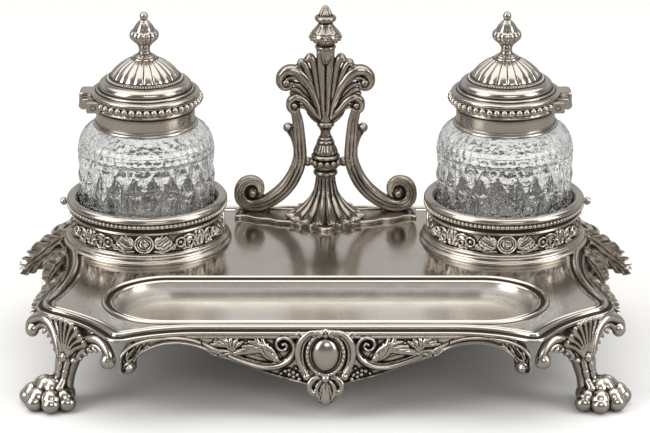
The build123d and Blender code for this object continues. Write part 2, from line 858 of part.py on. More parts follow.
# ---- Handle arms: an S-scroll that rises from a volute to the palmette ----
with BuildPart() as handle_arm_left:
    with BuildLine(handle_plane) as route:
        upper = ThreePointArc(
            (-arm_waist_x - 1.6, palmette_base + 4), (-arm_waist_x - 0.8, 42), (-arm_waist_x, 30)
        )
        lower = TangentArc(
            upper @ 1,
            (-arm_foot_x, handle_base_thickness + arm_half_width - 0.4),
            tangent=upper % 1,
        )
        TangentArc(lower @ 1, (-arm_foot_x - 1.8, volute_height + 2.2), tangent=lower % 1)
    with BuildSketch(Plane(origin=upper @ 0, x_dir=(1, 0, 0), z_dir=upper % 0)):
        Ellipse(arm_half_width, arm_half_depth)
    sweep()
    with BuildSketch(handle_plane.offset(-arm_half_depth)):
        with Locations((-arm_foot_x - 1.2, volute_height - 3.6)):
            Circle(arm_half_depth)
    extrude(amount=2 * arm_half_depth)
    with BuildSketch(handle_plane.offset(-arm_half_depth / 2)):
        with Locations((-arm_foot_x - 1.4, volute_height - 4.0)):
            Circle(volute_height / 2 - 0.5)
    extrude(amount=arm_half_depth)
    with BuildSketch(handle_plane.offset(-arm_half_depth / 2)):
        knob_x = -arm_waist_x - 5.9
        with BuildLine():
            ThreePointArc((knob_x, 48), (-arm_waist_x - 2.4, 45.6), (-arm_waist_x - 1, 36))
            Line((-arm_waist_x - 1, 36), (-arm_waist_x - 3, 36))
            ThreePointArc((-arm_waist_x - 3, 36), (-arm_waist_x - 4, 42), (knob_x, 44))
            Line((knob_x, 44), (knob_x, 48))
        make_face()
        with Locations((knob_x, 46)):
            Circle(knob_radius)
    extrude(amount=arm_half_depth)
    add(handle_base.part, mode=Mode.SUBTRACT)
keep(handle_arm_left, "handle_arm_left")
handle_arm_right = mirrored(handle_arm_left, Plane.YZ)
keep(handle_arm_right, "handle_arm_right")

# ---- Lower leaf: an acanthus skirt that spreads on the base ----
with BuildPart() as handle_leaf:
    skirt = (
        (handle_base_thickness, handle_back - 12.8, leaf_foot_half, 12.6),
        (6.0, handle_back - 7.5, 0.68 * leaf_foot_half, 8.4),
        (12.0, handle_back - 4.0, 0.44 * leaf_foot_half, 6.2),
        (leaf_foot_height, handle_y, 0.3 * leaf_foot_half, 5.6),
    )
    for height, centre_y, half_width, half_depth in skirt:
        with BuildSketch(Plane(origin=(0, centre_y, plate_top + height))):
            Ellipse(half_width, half_depth)
    loft()
keep(handle_leaf, "handle_leaf")

# ---- Baluster: rings, a bell and a knot, with a bead that meets each arm ----
with BuildPart() as handle_baluster:
    with BuildSketch(handle_plane):
        with BuildLine():
            Polyline(
                (0, palmette_base),
                (0, leaf_foot_height),
                (5.8, leaf_foot_height),
                (6.2, leaf_foot_height + 2.6),
                (baluster_ring - 0.6, leaf_foot_height + 4.6),
            )
            ThreePointArc(
                (baluster_ring - 0.6, leaf_foot_height + 4.6),
                (baluster_ring, leaf_foot_height + 6.8),
                (baluster_ring - 0.6, leaf_foot_height + 9.0),
            )
            Polyline(
                (baluster_ring - 0.6, leaf_foot_height + 9.0),
                (baluster_ring, leaf_foot_height + 9.4),
                (baluster_ring, leaf_foot_height + 10.4),
                (6.2, leaf_foot_height + 11.2),
                (5.6, leaf_foot_height + 15.0),
                (4.0, leaf_foot_height + 19.0),
            )
            ThreePointArc(
                (4.0, leaf_foot_height + 19.0),
                (2.6, palmette_base - 5.2),
                (2.9, palmette_base - 2.4),
            )
            Polyline(
                (2.9, palmette_base - 2.4),
                (4.3, palmette_base - 1.6),
                (4.3, palmette_base),
                (0, palmette_base),
            )
        make_face()
    revolve(axis=handle_axis)
    for side in (-1, 1):
        with Locations((side * (baluster_ring + 0.7 * side_bead_radius), handle_y, plate_top + 27.8)):
            Sphere(side_bead_radius)
    add(handle_arm_left.part, mode=Mode.SUBTRACT)
    add(handle_arm_right.part, mode=Mode.SUBTRACT)
keep(handle_baluster, "handle_baluster")

# ---- Palmette: a fan of lobes between two pairs of scrolls ----
with BuildPart() as handle_palmette:
    with BuildSketch(handle_plane.offset(-palmette_thickness / 2)):
        fan_top = palmette_base + palmette_height
        scroll = (palmette_half_width - 6.6, palmette_base + 22.0)
        low_scroll = (0.6 * palmette_half_width, palmette_base + 7.4)
        with BuildLine():
            for side in (-1, 1):
                Polyline((0, palmette_base), (side * 4.3, palmette_base), (side * 9.2, palmette_base + 4.6))
                Polyline(
                    (side * 9.2, palmette_base + 4.6),
                    (side * low_scroll[0], palmette_base + 5),
                    (side * low_scroll[0], palmette_base + 13),
                    (side * scroll[0], palmette_base + 16),
                    (side * scroll[0], palmette_base + 29),
                )
                ThreePointArc(
                    (side * scroll[0], palmette_base + 29),
                    (side * 13.5, palmette_base + 28.8),
                    (side * 11.4, palmette_base + 31.6),
                )
                Polyline(
                    (side * 11.4, palmette_base + 31.6),
                    (side * 6.6, palmette_base + 34.6),
                    (side * 5.0, fan_top),
                    (0, fan_top),
                )
        make_face()
        for side in (-1, 1):
            with Locations((side * scroll[0], scroll[1])):
                Circle(6.6)
            with Locations((side * low_scroll[0], low_scroll[1])):
                Circle(3.5)
    extrude(amount=palmette_thickness)
    add(handle_arm_left.part, mode=Mode.SUBTRACT)
    add(handle_arm_right.part, mode=Mode.SUBTRACT)
keep(handle_palmette, "handle_palmette")

# ---- Handle finial: a lobed urn under a small knob ----
with BuildPart() as handle_finial:
    with BuildSketch(handle_plane):
        with BuildLine():
            urn_z = fan_top + 0.29 * handle_finial_height
            knob_z = fan_top + 0.71 * handle_finial_height
            top_z = fan_top + handle_finial_height
            Polyline((0, fan_top), (5.0, fan_top), (5.2, fan_top + 1.6), (4.6, fan_top + 2.6))
            ThreePointArc(
                (4.6, fan_top + 2.6), (urn_radius - 0.6, urn_z - 2.2), (urn_radius, urn_z)
            )
            ThreePointArc((urn_radius, urn_z), (5.6, urn_z + 4.6), (3.3, knob_z - 2.6))
            Polyline(
                (3.3, knob_z - 2.6),
                (5.2, knob_z - 0.6),
                (5.2, knob_z + 0.6),
                (3.2, knob_z + 1.8),
            )
            Polyline((3.2, knob_z + 1.8), (1.8, top_z - 1.4), (0, top_z), (0, fan_top))
        make_face()
    revolve(axis=handle_axis)
keep(handle_finial, "handle_finial")
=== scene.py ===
import math

import bmesh
import bpy
import numpy as np
from mathutils import Matrix, Vector


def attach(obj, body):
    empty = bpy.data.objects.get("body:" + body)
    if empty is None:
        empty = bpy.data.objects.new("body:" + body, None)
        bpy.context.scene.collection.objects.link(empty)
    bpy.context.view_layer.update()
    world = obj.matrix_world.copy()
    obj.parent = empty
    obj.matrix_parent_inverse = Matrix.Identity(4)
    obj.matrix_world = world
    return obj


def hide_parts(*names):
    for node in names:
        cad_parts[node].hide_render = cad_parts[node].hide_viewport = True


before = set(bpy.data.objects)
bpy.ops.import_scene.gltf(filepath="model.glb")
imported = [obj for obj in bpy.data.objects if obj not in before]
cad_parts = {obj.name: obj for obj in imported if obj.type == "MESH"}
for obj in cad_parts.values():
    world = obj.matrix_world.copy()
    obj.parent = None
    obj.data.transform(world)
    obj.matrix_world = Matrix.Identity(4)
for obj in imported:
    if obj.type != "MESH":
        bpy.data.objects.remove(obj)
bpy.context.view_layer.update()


# ---- Stand plate ----
# One heavy casting: a flat hand-polished field inside a raised crest, a cove darkened by painted
# shade and a rolled lip, with a long round-ended pen tray sunk in its front. The aprons and feet
# are soldered under it.
def grid(surface, dark=0.0, wrap=False):
    """A shape from rows and columns of points, closed round its columns if asked."""
    surface = np.asarray(surface, float)
    rows, columns = surface.shape[:2]
    index = np.arange(rows * columns).reshape(rows, columns)
    if wrap:
        index = np.column_stack([index, index[:, :1]])
    corners = (index[:-1, :-1], index[:-1, 1:], index[1:, 1:], index[1:, :-1])
    quads = np.stack(corners, axis=-1).reshape(-1, 4)
    # dark is painted shade for each row or point
    shade = np.broadcast_to(np.asarray(dark, float), (rows, columns)).reshape(-1)
    return surface.reshape(-1, 3), [quads], shade


def joined(shapes):
    """Several shapes as one."""
    start = 0
    faces = []
    for points, groups, shade in shapes:
        faces += [group + start for group in groups]
        start += len(points)
    return np.concatenate([s[0] for s in shapes]), faces, np.concatenate([s[2] for s in shapes])


def welded(shape, size=0.002):
    """The shape with points that meet made one, and faces without length dropped."""
    points, groups, shade = shape
    key = np.round(points / size).astype(np.int64)
    _, first, back = np.unique(key, axis=0, return_index=True, return_inverse=True)
    back = back.reshape(-1)
    faces = []
    for group in groups:
        group = back[group]
        same = group == np.roll(group, -1, axis=1)
        count = same.sum(axis=1)
        faces.append(group[count == 0])
        if group.shape[1] == 4:
            faces.append(group[count == 1][~same[count == 1]].reshape(-1, 3))
    return points[first], [g for g in faces if len(g)], shade[first]


def mesh_of(name, shape, outward=True):
    """A mesh in metres from a shape in millimetres."""
    points, groups, shade = shape
    loops = np.concatenate([g.reshape(-1) for g in groups]).astype(np.int32)
    sizes = np.concatenate([np.full(len(g), g.shape[1]) for g in groups])
    mesh = bpy.data.meshes.new(name)
    mesh.vertices.add(len(points))
    mesh.vertices.foreach_set("co", (points * 0.001).astype(np.float32).reshape(-1))
    mesh.loops.add(len(loops))
    mesh.loops.foreach_set("vertex_index", loops)
    mesh.polygons.add(len(sizes))
    mesh.polygons.foreach_set("loop_start", (np.cumsum(sizes) - sizes).astype(np.int32))
    mesh.update(calc_edges=True)
    mesh.validate()
    # The painted shade of each point, read later into the tarnish colour.
    layer = mesh.attributes.new("shade", "FLOAT", "POINT")
    if len(mesh.vertices) == len(shade):
        layer.data.foreach_set("value", shade.astype(np.float32))
    if outward:
        work = bmesh.new()
        work.from_mesh(mesh)
        bmesh.ops.recalc_face_normals(work, faces=work.faces)
        work.to_mesh(mesh)
        work.free()
    return mesh


def read_out(items, label, width=1, kind=np.float32):
    """One value of every item of a mesh, in rows if it has several numbers."""
    values = np.empty(len(items) * width, kind)
    items.foreach_get(label, values)
    return values.reshape(-1, width) if width > 1 else values


def hollows(mesh, reaches=(0.7, 2.0)):
    """Write, for each point, how deep it lies below its surroundings, for the tarnish, plus the
    painted shade each shape gave it.
    """
    count = len(mesh.vertices)
    points = read_out(mesh.vertices, "co", 3).astype(float) * 1000
    normals = read_out(mesh.vertex_normals, "vector", 3)
    ends = read_out(mesh.edges, "vertices", 2, np.int32)
    length = np.linalg.norm(points[ends[:, 0]] - points[ends[:, 1]], axis=1)
    weight = 1.0 / np.maximum(length, 0.02)
    one, two = np.concatenate([ends, ends[:, ::-1]]).T
    both = np.concatenate([weight, weight])
    total = np.bincount(one, both, count) + 1e-9
    depth = np.zeros(count)
    near = points.copy()
    done = 0
    for reach in reaches:
        steps = int(np.clip((reach / max(np.median(length), 0.05)) ** 2, 2, 40))
        for _ in range(steps - done if steps > done else 1):
            pulled = [np.bincount(one, both * near[two, axis], count) / total for axis in range(3)]
            near = 0.5 * near + 0.5 * np.stack(pulled, axis=1)
        done = steps
        gap = ((near - points) * normals).sum(axis=1) / reach
        depth += np.tanh(gap * 7.0)
    depth = depth / len(reaches)
    # shade is painted shade given with each shape: above zero darker, below zero lighter
    shade = read_out(mesh.attributes["shade"].data, "value")
    layer = mesh.attributes.new("recess_and_shade", "FLOAT", "POINT")
    layer.data.foreach_set("value", (depth + shade).astype(np.float32))


def placed(name, data):
    """A new object in the scene."""
    thing = bpy.data.objects.new(name, data)
    bpy.context.scene.collection.objects.link(thing)
    return thing


def piece(name, shape, coat, outward=True, crease=38.0):
    """A finished object of one shape with one coat."""
    mesh = mesh_of(name, welded(shape), outward)
    mesh.polygons.foreach_set("use_smooth", np.ones(len(mesh.polygons), bool))
    mesh.set_sharp_from_angle(angle=math.radians(crease))
    hollows(mesh)
    mesh.materials.append(coat)
    return placed(name, mesh)


def reflected(thing, name, axis):
    """The mirror image of a finished object in the plane across an axis."""
    mesh = thing.data.copy()
    mesh.name = name
    points = read_out(mesh.vertices, "co", 3)
    points[:, axis] *= -1
    mesh.vertices.foreach_set("co", points.reshape(-1))
    mesh.flip_normals()
    mesh.update()
    return placed(name, mesh)


def added(nodes, kind, name, values=None, **settings):
    """A named node with its settings and unlinked inputs."""
    node = nodes.new(kind)
    node.name = name
    for label, value in settings.items():
        setattr(node, label, value)
    for label, value in (values or {}).items():
        node.inputs[label].default_value = value
    return node


def linked(links, pairs):
    """Join sockets given as (from node, its output, to node, its input)."""
    for start, output, end, entry in pairs:
        links.new(start.outputs[output], end.inputs[entry])


def blank_coat(name):
    """A new material with its nodes, links and main shader."""
    coat = bpy.data.materials.new(name)
    coat.use_nodes = True
    nodes = coat.node_tree.nodes
    return coat, nodes, coat.node_tree.links, nodes["Principled BSDF"]


def tarnish_and_shade_nodes():
    """Worn silver plate: bright on the high spots, brown-black in the hollows, finely scratched;
    painted shade given per point darkens with the same brown-black.
    """
    group = bpy.data.node_groups.new("tarnish_and_shade", "ShaderNodeTree")
    face = group.interface
    for label, kind, value in (
        ("Recess_and_shade", "NodeSocketFloat", 0.0),
        ("Bright", "NodeSocketColor", (0.56, 0.53, 0.49, 1.0)),
        # Patina is the tarnish colour and also the colour of the painted shade.
        ("Patina_and_shade", "NodeSocketColor", (0.048, 0.038, 0.031, 1.0)),
        ("Onset", "NodeSocketFloat", 0.02),
        ("Spread", "NodeSocketFloat", 0.34),
        ("Mottle", "NodeSocketFloat", 0.12),
        ("Polish", "NodeSocketFloat", 0.22),
        ("Wave", "NodeSocketFloat", 0.0),
    ):
        face.new_socket(name=label, in_out="INPUT", socket_type=kind).default_value = value
    face.new_socket(name="Base Color", in_out="OUTPUT", socket_type="NodeSocketColor")
    face.new_socket(name="Roughness", in_out="OUTPUT", socket_type="NodeSocketFloat")
    face.new_socket(name="Height", in_out="OUTPUT", socket_type="NodeSocketFloat")
    nodes, links = group.nodes, group.links
    given = added(nodes, "NodeGroupInput", "given")
    result = added(nodes, "NodeGroupOutput", "result")
    place = added(nodes, "ShaderNodeTexCoord", "place")

    def noise(label, scale, detail, rough):
        node = added(nodes, "ShaderNodeTexNoise", label,
            {"Scale": scale, "Detail": detail, "Roughness": rough})
        links.new(place.outputs["Object"], node.inputs["Vector"])
        return node.outputs["Fac"]

    def sum_of(operation, one, two, three=None, clamp=False):
        node = nodes.new("ShaderNodeMath")
        node.operation = operation
        node.use_clamp = clamp
        for socket, value in zip(node.inputs, (one, two, three)):
            if value is None:
                continue
            if isinstance(value, (int, float)):
                socket.default_value = value
            else:
                links.new(value, socket)
        return node.outputs[0]

    cloud = noise("cloud", 95.0, 4.0, 0.6)
    speck = noise("speck", 900.0, 3.0, 0.65)
    swell = noise("swell", 38.0, 1.0, 0.4)
    stretch = added(nodes, "ShaderNodeMapping", "stretch", {"Scale": (35.0, 900.0, 900.0)})
    links.new(place.outputs["Object"], stretch.inputs["Vector"])
    hair = added(nodes, "ShaderNodeTexNoise", "hair", {"Scale": 1.6, "Detail": 2.0})
    links.new(stretch.outputs["Vector"], hair.inputs["Vector"])
    lift = sum_of("ADD", cloud, -0.5)
    lift = sum_of("MULTIPLY_ADD", sum_of("ADD", speck, -0.5), 0.6, lift)
    lift = sum_of("MULTIPLY", lift, given.outputs["Mottle"])
    lift = sum_of("MULTIPLY", lift, 2.0)
    level = sum_of("ADD", given.outputs["Recess_and_shade"], lift)
    span = added(nodes, "ShaderNodeMapRange", "span", interpolation_type="SMOOTHSTEP")
    links.new(level, span.inputs["Value"])
    links.new(given.outputs["Onset"], span.inputs["From Min"])
    links.new(sum_of("ADD", given.outputs["Onset"], given.outputs["Spread"]),
        span.inputs["From Max"])
    blend = added(nodes, "ShaderNodeMix", "blend", data_type="RGBA")
    linked(links, (
        (span, "Result", blend, "Factor"), (given, "Bright", blend, "A"),
        (given, "Patina_and_shade", blend, "B"),
    ))
    film = added(nodes, "ShaderNodeMix", "film", data_type="RGBA", blend_type="MULTIPLY")
    links.new(sum_of("MULTIPLY", cloud, 0.5, clamp=True), film.inputs["Factor"])
    links.new(blend.outputs["Result"], film.inputs["A"])
    film.inputs["B"].default_value = (0.86, 0.80, 0.72, 1.0)
    links.new(film.outputs["Result"], result.inputs["Base Color"])
    rough = sum_of("MULTIPLY_ADD", cloud, 0.12, given.outputs["Polish"])
    rough = sum_of("MULTIPLY_ADD", span.outputs["Result"], 0.28, rough)
    rough = sum_of("ADD", rough, -0.05, clamp=True)
    links.new(rough, result.inputs["Roughness"])
    height = sum_of("MULTIPLY", swell, given.outputs["Wave"])
    height = sum_of("MULTIPLY_ADD", hair.outputs["Fac"], 0.012, height)
    height = sum_of("MULTIPLY_ADD", speck, 0.02, height)
    links.new(height, result.inputs["Height"])
    return group


tarnish_and_shade = tarnish_and_shade_nodes()


def silver(name, bump=0.25, **values):
    """A silver coat from the shared tarnish and painted shade, with its own amount of wear."""
    coat, nodes, links, shader = blank_coat(name)
    shader.inputs["Metallic"].default_value = 1.0
    wear_and_shade = added(nodes, "ShaderNodeGroup", "wear_and_shade")
    wear_and_shade.node_tree = tarnish_and_shade
    for label, value in values.items():
        wear_and_shade.inputs[label].default_value = value
    depth = added(nodes, "ShaderNodeAttribute", "depth")
    depth.attribute_name = "recess_and_shade"
    links.new(depth.outputs["Fac"], wear_and_shade.inputs["Recess_and_shade"])
    relief = added(nodes, "ShaderNodeBump", "relief", {"Strength": bump, "Distance": 0.001})
    linked(links, (
        (wear_and_shade, "Height", relief, "Height"), (wear_and_shade, "Base Color", shader, "Base Color"),
        (wear_and_shade, "Roughness", shader, "Roughness"), (relief, "Normal", shader, "Normal"),
    ))
    return coat


def plate_outline(step=1.0):
    """The front left quarter of the crest line with its outward normals, from its arcs."""
    straight, front = 60.0, 84.5
    horn, corner, waist = np.array((98.0, 95.0)), np.array((137.5, 56.5)), 123.0
    horn_radius, corner_radius, hollow = 3.0, 12.0, 4.6
    sweep_radius = ((horn[0] - straight) ** 2 + (horn[1] - front) ** 2) / (2 * (horn[1] - front))
    sweep = np.array((straight, front + sweep_radius))
    waist_radius = (corner[1] ** 2 + (corner[0] - waist) ** 2) / (2 * (corner[0] - waist))
    side = np.array((waist + waist_radius, 0.0))
    run = np.linalg.norm(corner - horn)
    hollow_radius = ((run / 2) ** 2 + hollow**2) / (2 * hollow)
    away = np.array((horn[1] - corner[1], corner[0] - horn[0])) / run
    diagonal = (horn + corner) / 2 + (hollow_radius - hollow) * away

    def meeting(one, reach_one, two, reach_two, near):
        gap = np.linalg.norm(two - one)
        along = (reach_one**2 - reach_two**2 + gap**2) / (2 * gap)
        across = math.sqrt(reach_one**2 - along**2)
        way = (two - one) / gap
        pair = [one + along * way + s * across * np.array((-way[1], way[0])) for s in (1, -1)]
        return min(pair, key=lambda p: np.linalg.norm(p - near))

    def arc(centre, radius, start, end, pace):
        first = math.atan2(*(start - centre)[::-1])
        turn = (math.atan2(*(end - centre)[::-1]) - first + math.pi) % (2 * math.pi) - math.pi
        angle = first + turn * np.linspace(0, 1, max(4, int(abs(turn) * radius / pace)))
        return centre + radius * np.column_stack([np.cos(angle), np.sin(angle)])

    def toward(one, two, reach):
        return one + reach * (two - one) / np.linalg.norm(two - one)

    tip = meeting(sweep, sweep_radius + horn_radius, diagonal, hollow_radius + horn_radius, horn)
    bend = meeting(
        diagonal, hollow_radius + corner_radius, side, waist_radius + corner_radius, corner
    )
    runs = [
        np.column_stack([np.linspace(0, straight, 50), np.full(50, front)]),
        arc(sweep, sweep_radius, np.array((straight, front)), toward(sweep, tip, sweep_radius),
        step),
        arc(tip, horn_radius, toward(sweep, tip, sweep_radius),
        toward(diagonal, tip, hollow_radius), 0.3),
        arc(diagonal, hollow_radius, toward(diagonal, tip, hollow_radius),
            toward(diagonal, bend, hollow_radius), step),
        arc(bend, corner_radius, toward(diagonal, bend, hollow_radius),
            toward(side, bend, waist_radius), 0.7),
        arc(side, waist_radius, toward(side, bend, waist_radius), np.array((waist, 0.0)), step),
    ]
    line = np.concatenate(runs)
    line = line[np.r_[True, np.linalg.norm(np.diff(line, axis=0), axis=1) > 1e-5]]
    slope = np.gradient(line, axis=0)
    slope /= np.linalg.norm(slope, axis=1)[:, None]
    outward = np.column_stack([-slope[:, 1], slope[:, 0]])
    return line, outward


def whole_outline():
    """The closed crest line and its outward normals, counted from the middle of the back edge."""
    line, outward = plate_outline()
    loops = []
    for values in (line, outward):
        side = (values * (1, -1))[::-1][1:]
        half = np.concatenate([values, side])
        other = (half * (-1, 1))[::-1][1:-1]
        loops.append(np.concatenate([half, other]))
    return loops


outline, outline_normal = whole_outline()
plate_z, under_z = 44.0, 41.8
border = [
    (-5.2, 44.0), (-4.6, 44.02), (-4.1, 44.35), (-3.6, 44.6), (-3.1, 44.35), (-2.7, 43.95),
    (-2.1, 43.9), (-1.6, 44.15), (-1.1, 44.85), (-0.6, 45.35), (0.0, 45.5), (0.6, 45.3),
    (1.1, 44.7), (1.5, 43.9), (2.1, 43.15), (2.7, 43.0), (3.2, 43.3), (3.7, 43.55), (4.2, 43.3),
    (4.5, 42.8), (4.4, 42.3), (4.0, 41.95), (3.6, under_z), (2.4, under_z), (-1.0, under_z),
]
# Painted shade on the border, one value for each ring: darker in the cove under the crest and under
# the rolled lip.
border_painted_shade = [0, 0, 0, 0, 0.1, 0.3, 0.3, 0.1, 0, 0, 0, 0, 0.15, 0.5, 0.75, 0.6, 0.2, 0, 0, 0, 0.2,
    0.4, 0.5, 0, 0]
rings = []
for reach, height in border:
    ring = outline + reach * outline_normal
    rings.append(np.column_stack([ring, np.full(len(ring), height)]))
edge_shape = grid(np.array(rings), np.array(border_painted_shade)[:, None], wrap=True)

tray_y, tray_length, tray_width = -48.0, 107.0, 31.5


def stadium(inset):
    """The tray's outline drawn in by a distance, with the same number of points each time."""
    radius = max(tray_width - inset, 0.0)
    straight = tray_length - tray_width
    turn = np.linspace(-math.pi / 2, math.pi / 2, 61)
    right = np.column_stack([straight + radius * np.cos(turn), radius * np.sin(turn)])
    left = -right
    back = np.column_stack([np.linspace(straight, -straight, 80)[1:-1], np.full(78, radius)])
    front = np.column_stack([np.linspace(-straight, straight, 80)[1:-1], np.full(78, -radius)])
    return np.concatenate([right, back, left, front]) + (0, tray_y)


tray = [
    (-0.3, 44.0), (0.0, 44.15), (0.4, 44.9), (1.1, 45.25), (1.8, 44.9), (2.3, 44.1), (3.0, 43.85),
    (4.0, 43.85), (4.4, 44.1), (4.9, 44.3), (5.5, 44.0), (6.1, 43.2), (7.0, 41.9), (8.2, 40.4),
    (9.8, 39.1), (11.8, 38.2), (14.2, 37.7), (17.5, 37.45), (22.0, 37.35), (27.0, 37.3),
    (31.5, 37.3),
]
# Painted shade on the tray, one value for each loop: darker at the rim's outer foot and in the
# trough behind the rim bead.
tray_painted_shade = [0.2, 0.35, 0.1, 0, 0.1, 0.5, 0.6, 0.45, 0.1, 0, 0, 0.1, 0.1, 0, 0, 0, 0, 0, 0, 0, 0]
loops = [np.column_stack([stadium(d), np.full(278, z)]) for d, z in tray]
tray_shape = grid(np.array(loops), np.array(tray_painted_shade)[:, None], wrap=True)
pan = [(2.2, under_z), (2.2, 36.2), (3.0, 35.4), (12.0, 35.4), (31.5, 35.4)]
pan_shape = grid(np.array([np.column_stack([stadium(d), np.full(278, z)]) for d, z in pan]), 0.0,
    wrap=True)


def sheet(height, *lines):
    """Flat metal inside one closed line, or between two."""
    work = bmesh.new()
    rims = []
    for line in lines:
        corners = [work.verts.new((x, y, height)) for x, y in line]
        rims += [work.edges.new((a, b)) for a, b in zip(corners, corners[1:] + corners[:1])]
    bmesh.ops.triangle_fill(work, edges=rims, use_beauty=True)
    work.verts.index_update()
    points = np.array([v.co[:] for v in work.verts])
    faces = np.array([[v.index for v in f.verts] for f in work.faces])
    work.free()
    return points, [faces], np.zeros(len(points))


# The border's points carry painted shade; the field's own points carry none.
field_drop = 0.006  # keeps the field's points from being welded to the dark border's
field_shape = sheet(plate_z - field_drop, rings[0][:, :2], stadium(-0.3))
underside = sheet(under_z, rings[-1][:, :2], stadium(2.2))
plate_silver = silver(
    "silver_plate_field", bump=0.3, Onset=0.1, Spread=0.5, Mottle=0.05, Polish=0.14, Wave=0.55,
    Bright=(0.64, 0.61, 0.57, 1.0),
)
plate = piece(
    "plate", joined([edge_shape, field_shape, tray_shape, pan_shape, underside]), plate_silver
)
# The tray's well takes a much brighter copy of the plate's silver: painted light.
tray_painted_light_silver = silver(
    "silver_tray_painted_light", bump=0.3, Onset=0.25, Spread=0.6, Mottle=0.04, Polish=0.24, Wave=0.8,
    Bright=(0.93, 0.90, 0.85, 1.0)
)
plate.data.materials.append(tray_painted_light_silver)
# These faces, the tray's well, get the brighter copy: painted light.
pan_low, pan_high, pan_inset = 36.8, 43.6, 5.6
for patch in plate.data.polygons:
    x, y, z = (1000 * v for v in patch.center)
    over = max(abs(x) - (tray_length - tray_width), 0.0)
    if pan_low < z < pan_high and math.hypot(over, y - tray_y) < tray_width - pan_inset:
        patch.material_index = 1
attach(plate, "stand")
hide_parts("base_plate")


# ---- Long aprons ----
# Cast and chased strips soldered under the lip: a scrolled arch at each end, then spirals and
# acanthus that fall towards the cartouche. The back strip is the front one's mirror image.
def flow(points, count):
    """A smooth run through the given points."""
    points = np.asarray(points, float)
    more = np.vstack([2 * points[0] - points[1], points, 2 * points[-1] - points[-2]])
    place = np.linspace(0, len(points) - 1.000001, count)
    index = place.astype(int)
    t = (place - index)[:, None]
    a, b, c, d = (more[index + k] for k in range(4))
    square, cube = 2 * a - 5 * b + 4 * c - d, 3 * b - a - 3 * c + d
    return 0.5 * (2 * b + (c - a) * t + square * t**2 + cube * t**3)


def carve(ground, across, up, strokes):
    """Raise a panel by rounded strokes; each is a run of (across, up, radius, rise)."""
    for run in strokes:
        run = np.asarray(run, float)
        if len(run) > 1:
            run = flow(run, max(6, 5 * len(run)))
        else:
            run = np.concatenate([run, run + (0.01, 0.01, 0, 0)])
        wide = run[:, 2].max()
        inside = (np.abs(across - run[:, 0].mean()) <= np.ptp(run[:, 0]) / 2 + wide) & (
            np.abs(up - run[:, 1].mean()) <= np.ptp(run[:, 1]) / 2 + wide
        )
        where = np.nonzero(inside)
        if not len(where[0]):
            continue
        spot = np.stack([across[where], up[where]], axis=1)[:, None, :]
        start, end = run[:-1], run[1:]
        way = (end - start)[:, :2]
        length = np.maximum((way**2).sum(axis=1), 1e-9)
        t = np.clip(((spot - start[:, :2]) * way).sum(axis=2) / length, 0, 1)
        gap = np.linalg.norm(spot - (start[:, :2] + t[..., None] * way), axis=2)
        radius = np.maximum(start[:, 2] + t * (end[:, 2] - start[:, 2]), 0.05)
        rise = start[:, 3] + t * (end[:, 3] - start[:, 3])
        height = rise * np.sqrt(np.clip(1 - (gap / radius) ** 2, 0, 1))
        ground[where] = np.maximum(ground[where], height.max(axis=1))
    return ground


def fan(root, tips, width, rise, bow=0.12):
    """Leaf lobes from one root to several tips, narrow at the root and full near the tip."""
    strokes = []
    for number, tip in enumerate(tips):
        root, tip = np.asarray(root, float), np.asarray(tip, float)
        way = tip - root
        aside = np.array((-way[1], way[0])) * bow * (1 if number < len(tips) / 2 else -1)
        strokes.append([
            (*root, 0.45 * width, 0.6 * rise),
            (*(root + 0.35 * way + aside), 0.7 * width, 0.8 * rise),
            (*(root + 0.7 * way + 0.7 * aside), width, rise),
            (*tip, 0.55 * width, 0.6 * rise),
        ])
    return strokes


def chased_strip(name, across, low, face, top, strokes, coat, thickness=2.8, rows=96, ground=-0.9):
    """A cast strip with relief: its outline below, its face as place(across, outward, up)."""
    share = np.linspace(0, 1, rows)[:, None]
    up = top + (low[None, :] - top) * share
    wide = np.broadcast_to(across, up.shape)
    relief = carve(np.zeros(up.shape), -np.abs(wide), up, strokes)
    rim = np.clip((up - low[None, :]) / 1.2, 0, 1)
    lift = ground + relief - 1.1 * (1 - np.sqrt(1 - (1 - rim) ** 2))
    front = face(wide, lift, up)
    back_up = top + (low[None, :] - top) * np.linspace(1, 0, 8)[:, None]
    back = face(np.broadcast_to(across, back_up.shape), np.full(back_up.shape, -thickness), back_up)
    surface = np.concatenate([front, back])
    for end in (0, -1):
        surface[:, end] = surface[:, end].mean(axis=0) * 0.02 + surface[:, end] * 0.98
    closed = grid(surface.transpose(1, 0, 2), wrap=True)
    count = surface.shape[0]
    caps = []
    for end, column in ((0, 0), (1, surface.shape[1] - 1)):
        ring = np.arange(column * count, (column + 1) * count)
        hub = len(closed[0]) + end
        caps.append(np.column_stack([ring, np.roll(ring, -1), np.full(count, hub)]))
    hubs = np.stack([surface[:, 0].mean(axis=0), surface[:, -1].mean(axis=0)])
    shade = np.concatenate([closed[2], (0.0, 0.0)])
    return piece(name, (np.concatenate([closed[0], hubs]), closed[1] + caps, shade), coat)


def apron_low(across):
    """The long apron's lower edge."""
    edge = np.array([
        (0, 14), (8, 16.2), (13.7, 17.8), (23.3, 20.6), (29.2, 23.2), (40.2, 26.8), (50.6, 30.4),
        (53.0, 31.2), (54.4, 32.9), (57.5, 34.6), (60.7, 35.7), (66.1, 37.0), (71.2, 37.5),
        (76.6, 37.3), (82.5, 36.1), (86.2, 34.2), (88.2, 32.2), (88.9, 31.0),
    ])
    wide = np.abs(across)
    low = np.interp(wide, edge[:, 0], edge[:, 1])
    ball = 29.0 - np.sqrt(np.clip(4.4**2 - (wide - 92.5) ** 2, 0, None))
    return np.where(wide > 88.3, ball, low)


def long_face(across, lift, up):
    """A point of the long apron's face, out along the lip's own line."""
    front, straight, sweep = 84.5, 60.0, 74.02
    reach = 3.6 + lift
    past = np.clip(np.abs(across) - straight, 0, None)
    bowed = front + sweep - np.sqrt(np.clip((sweep - reach) ** 2 - past**2, 1, None))
    return np.stack([across, -np.where(past > 0, bowed, front + reach), up], axis=-1)


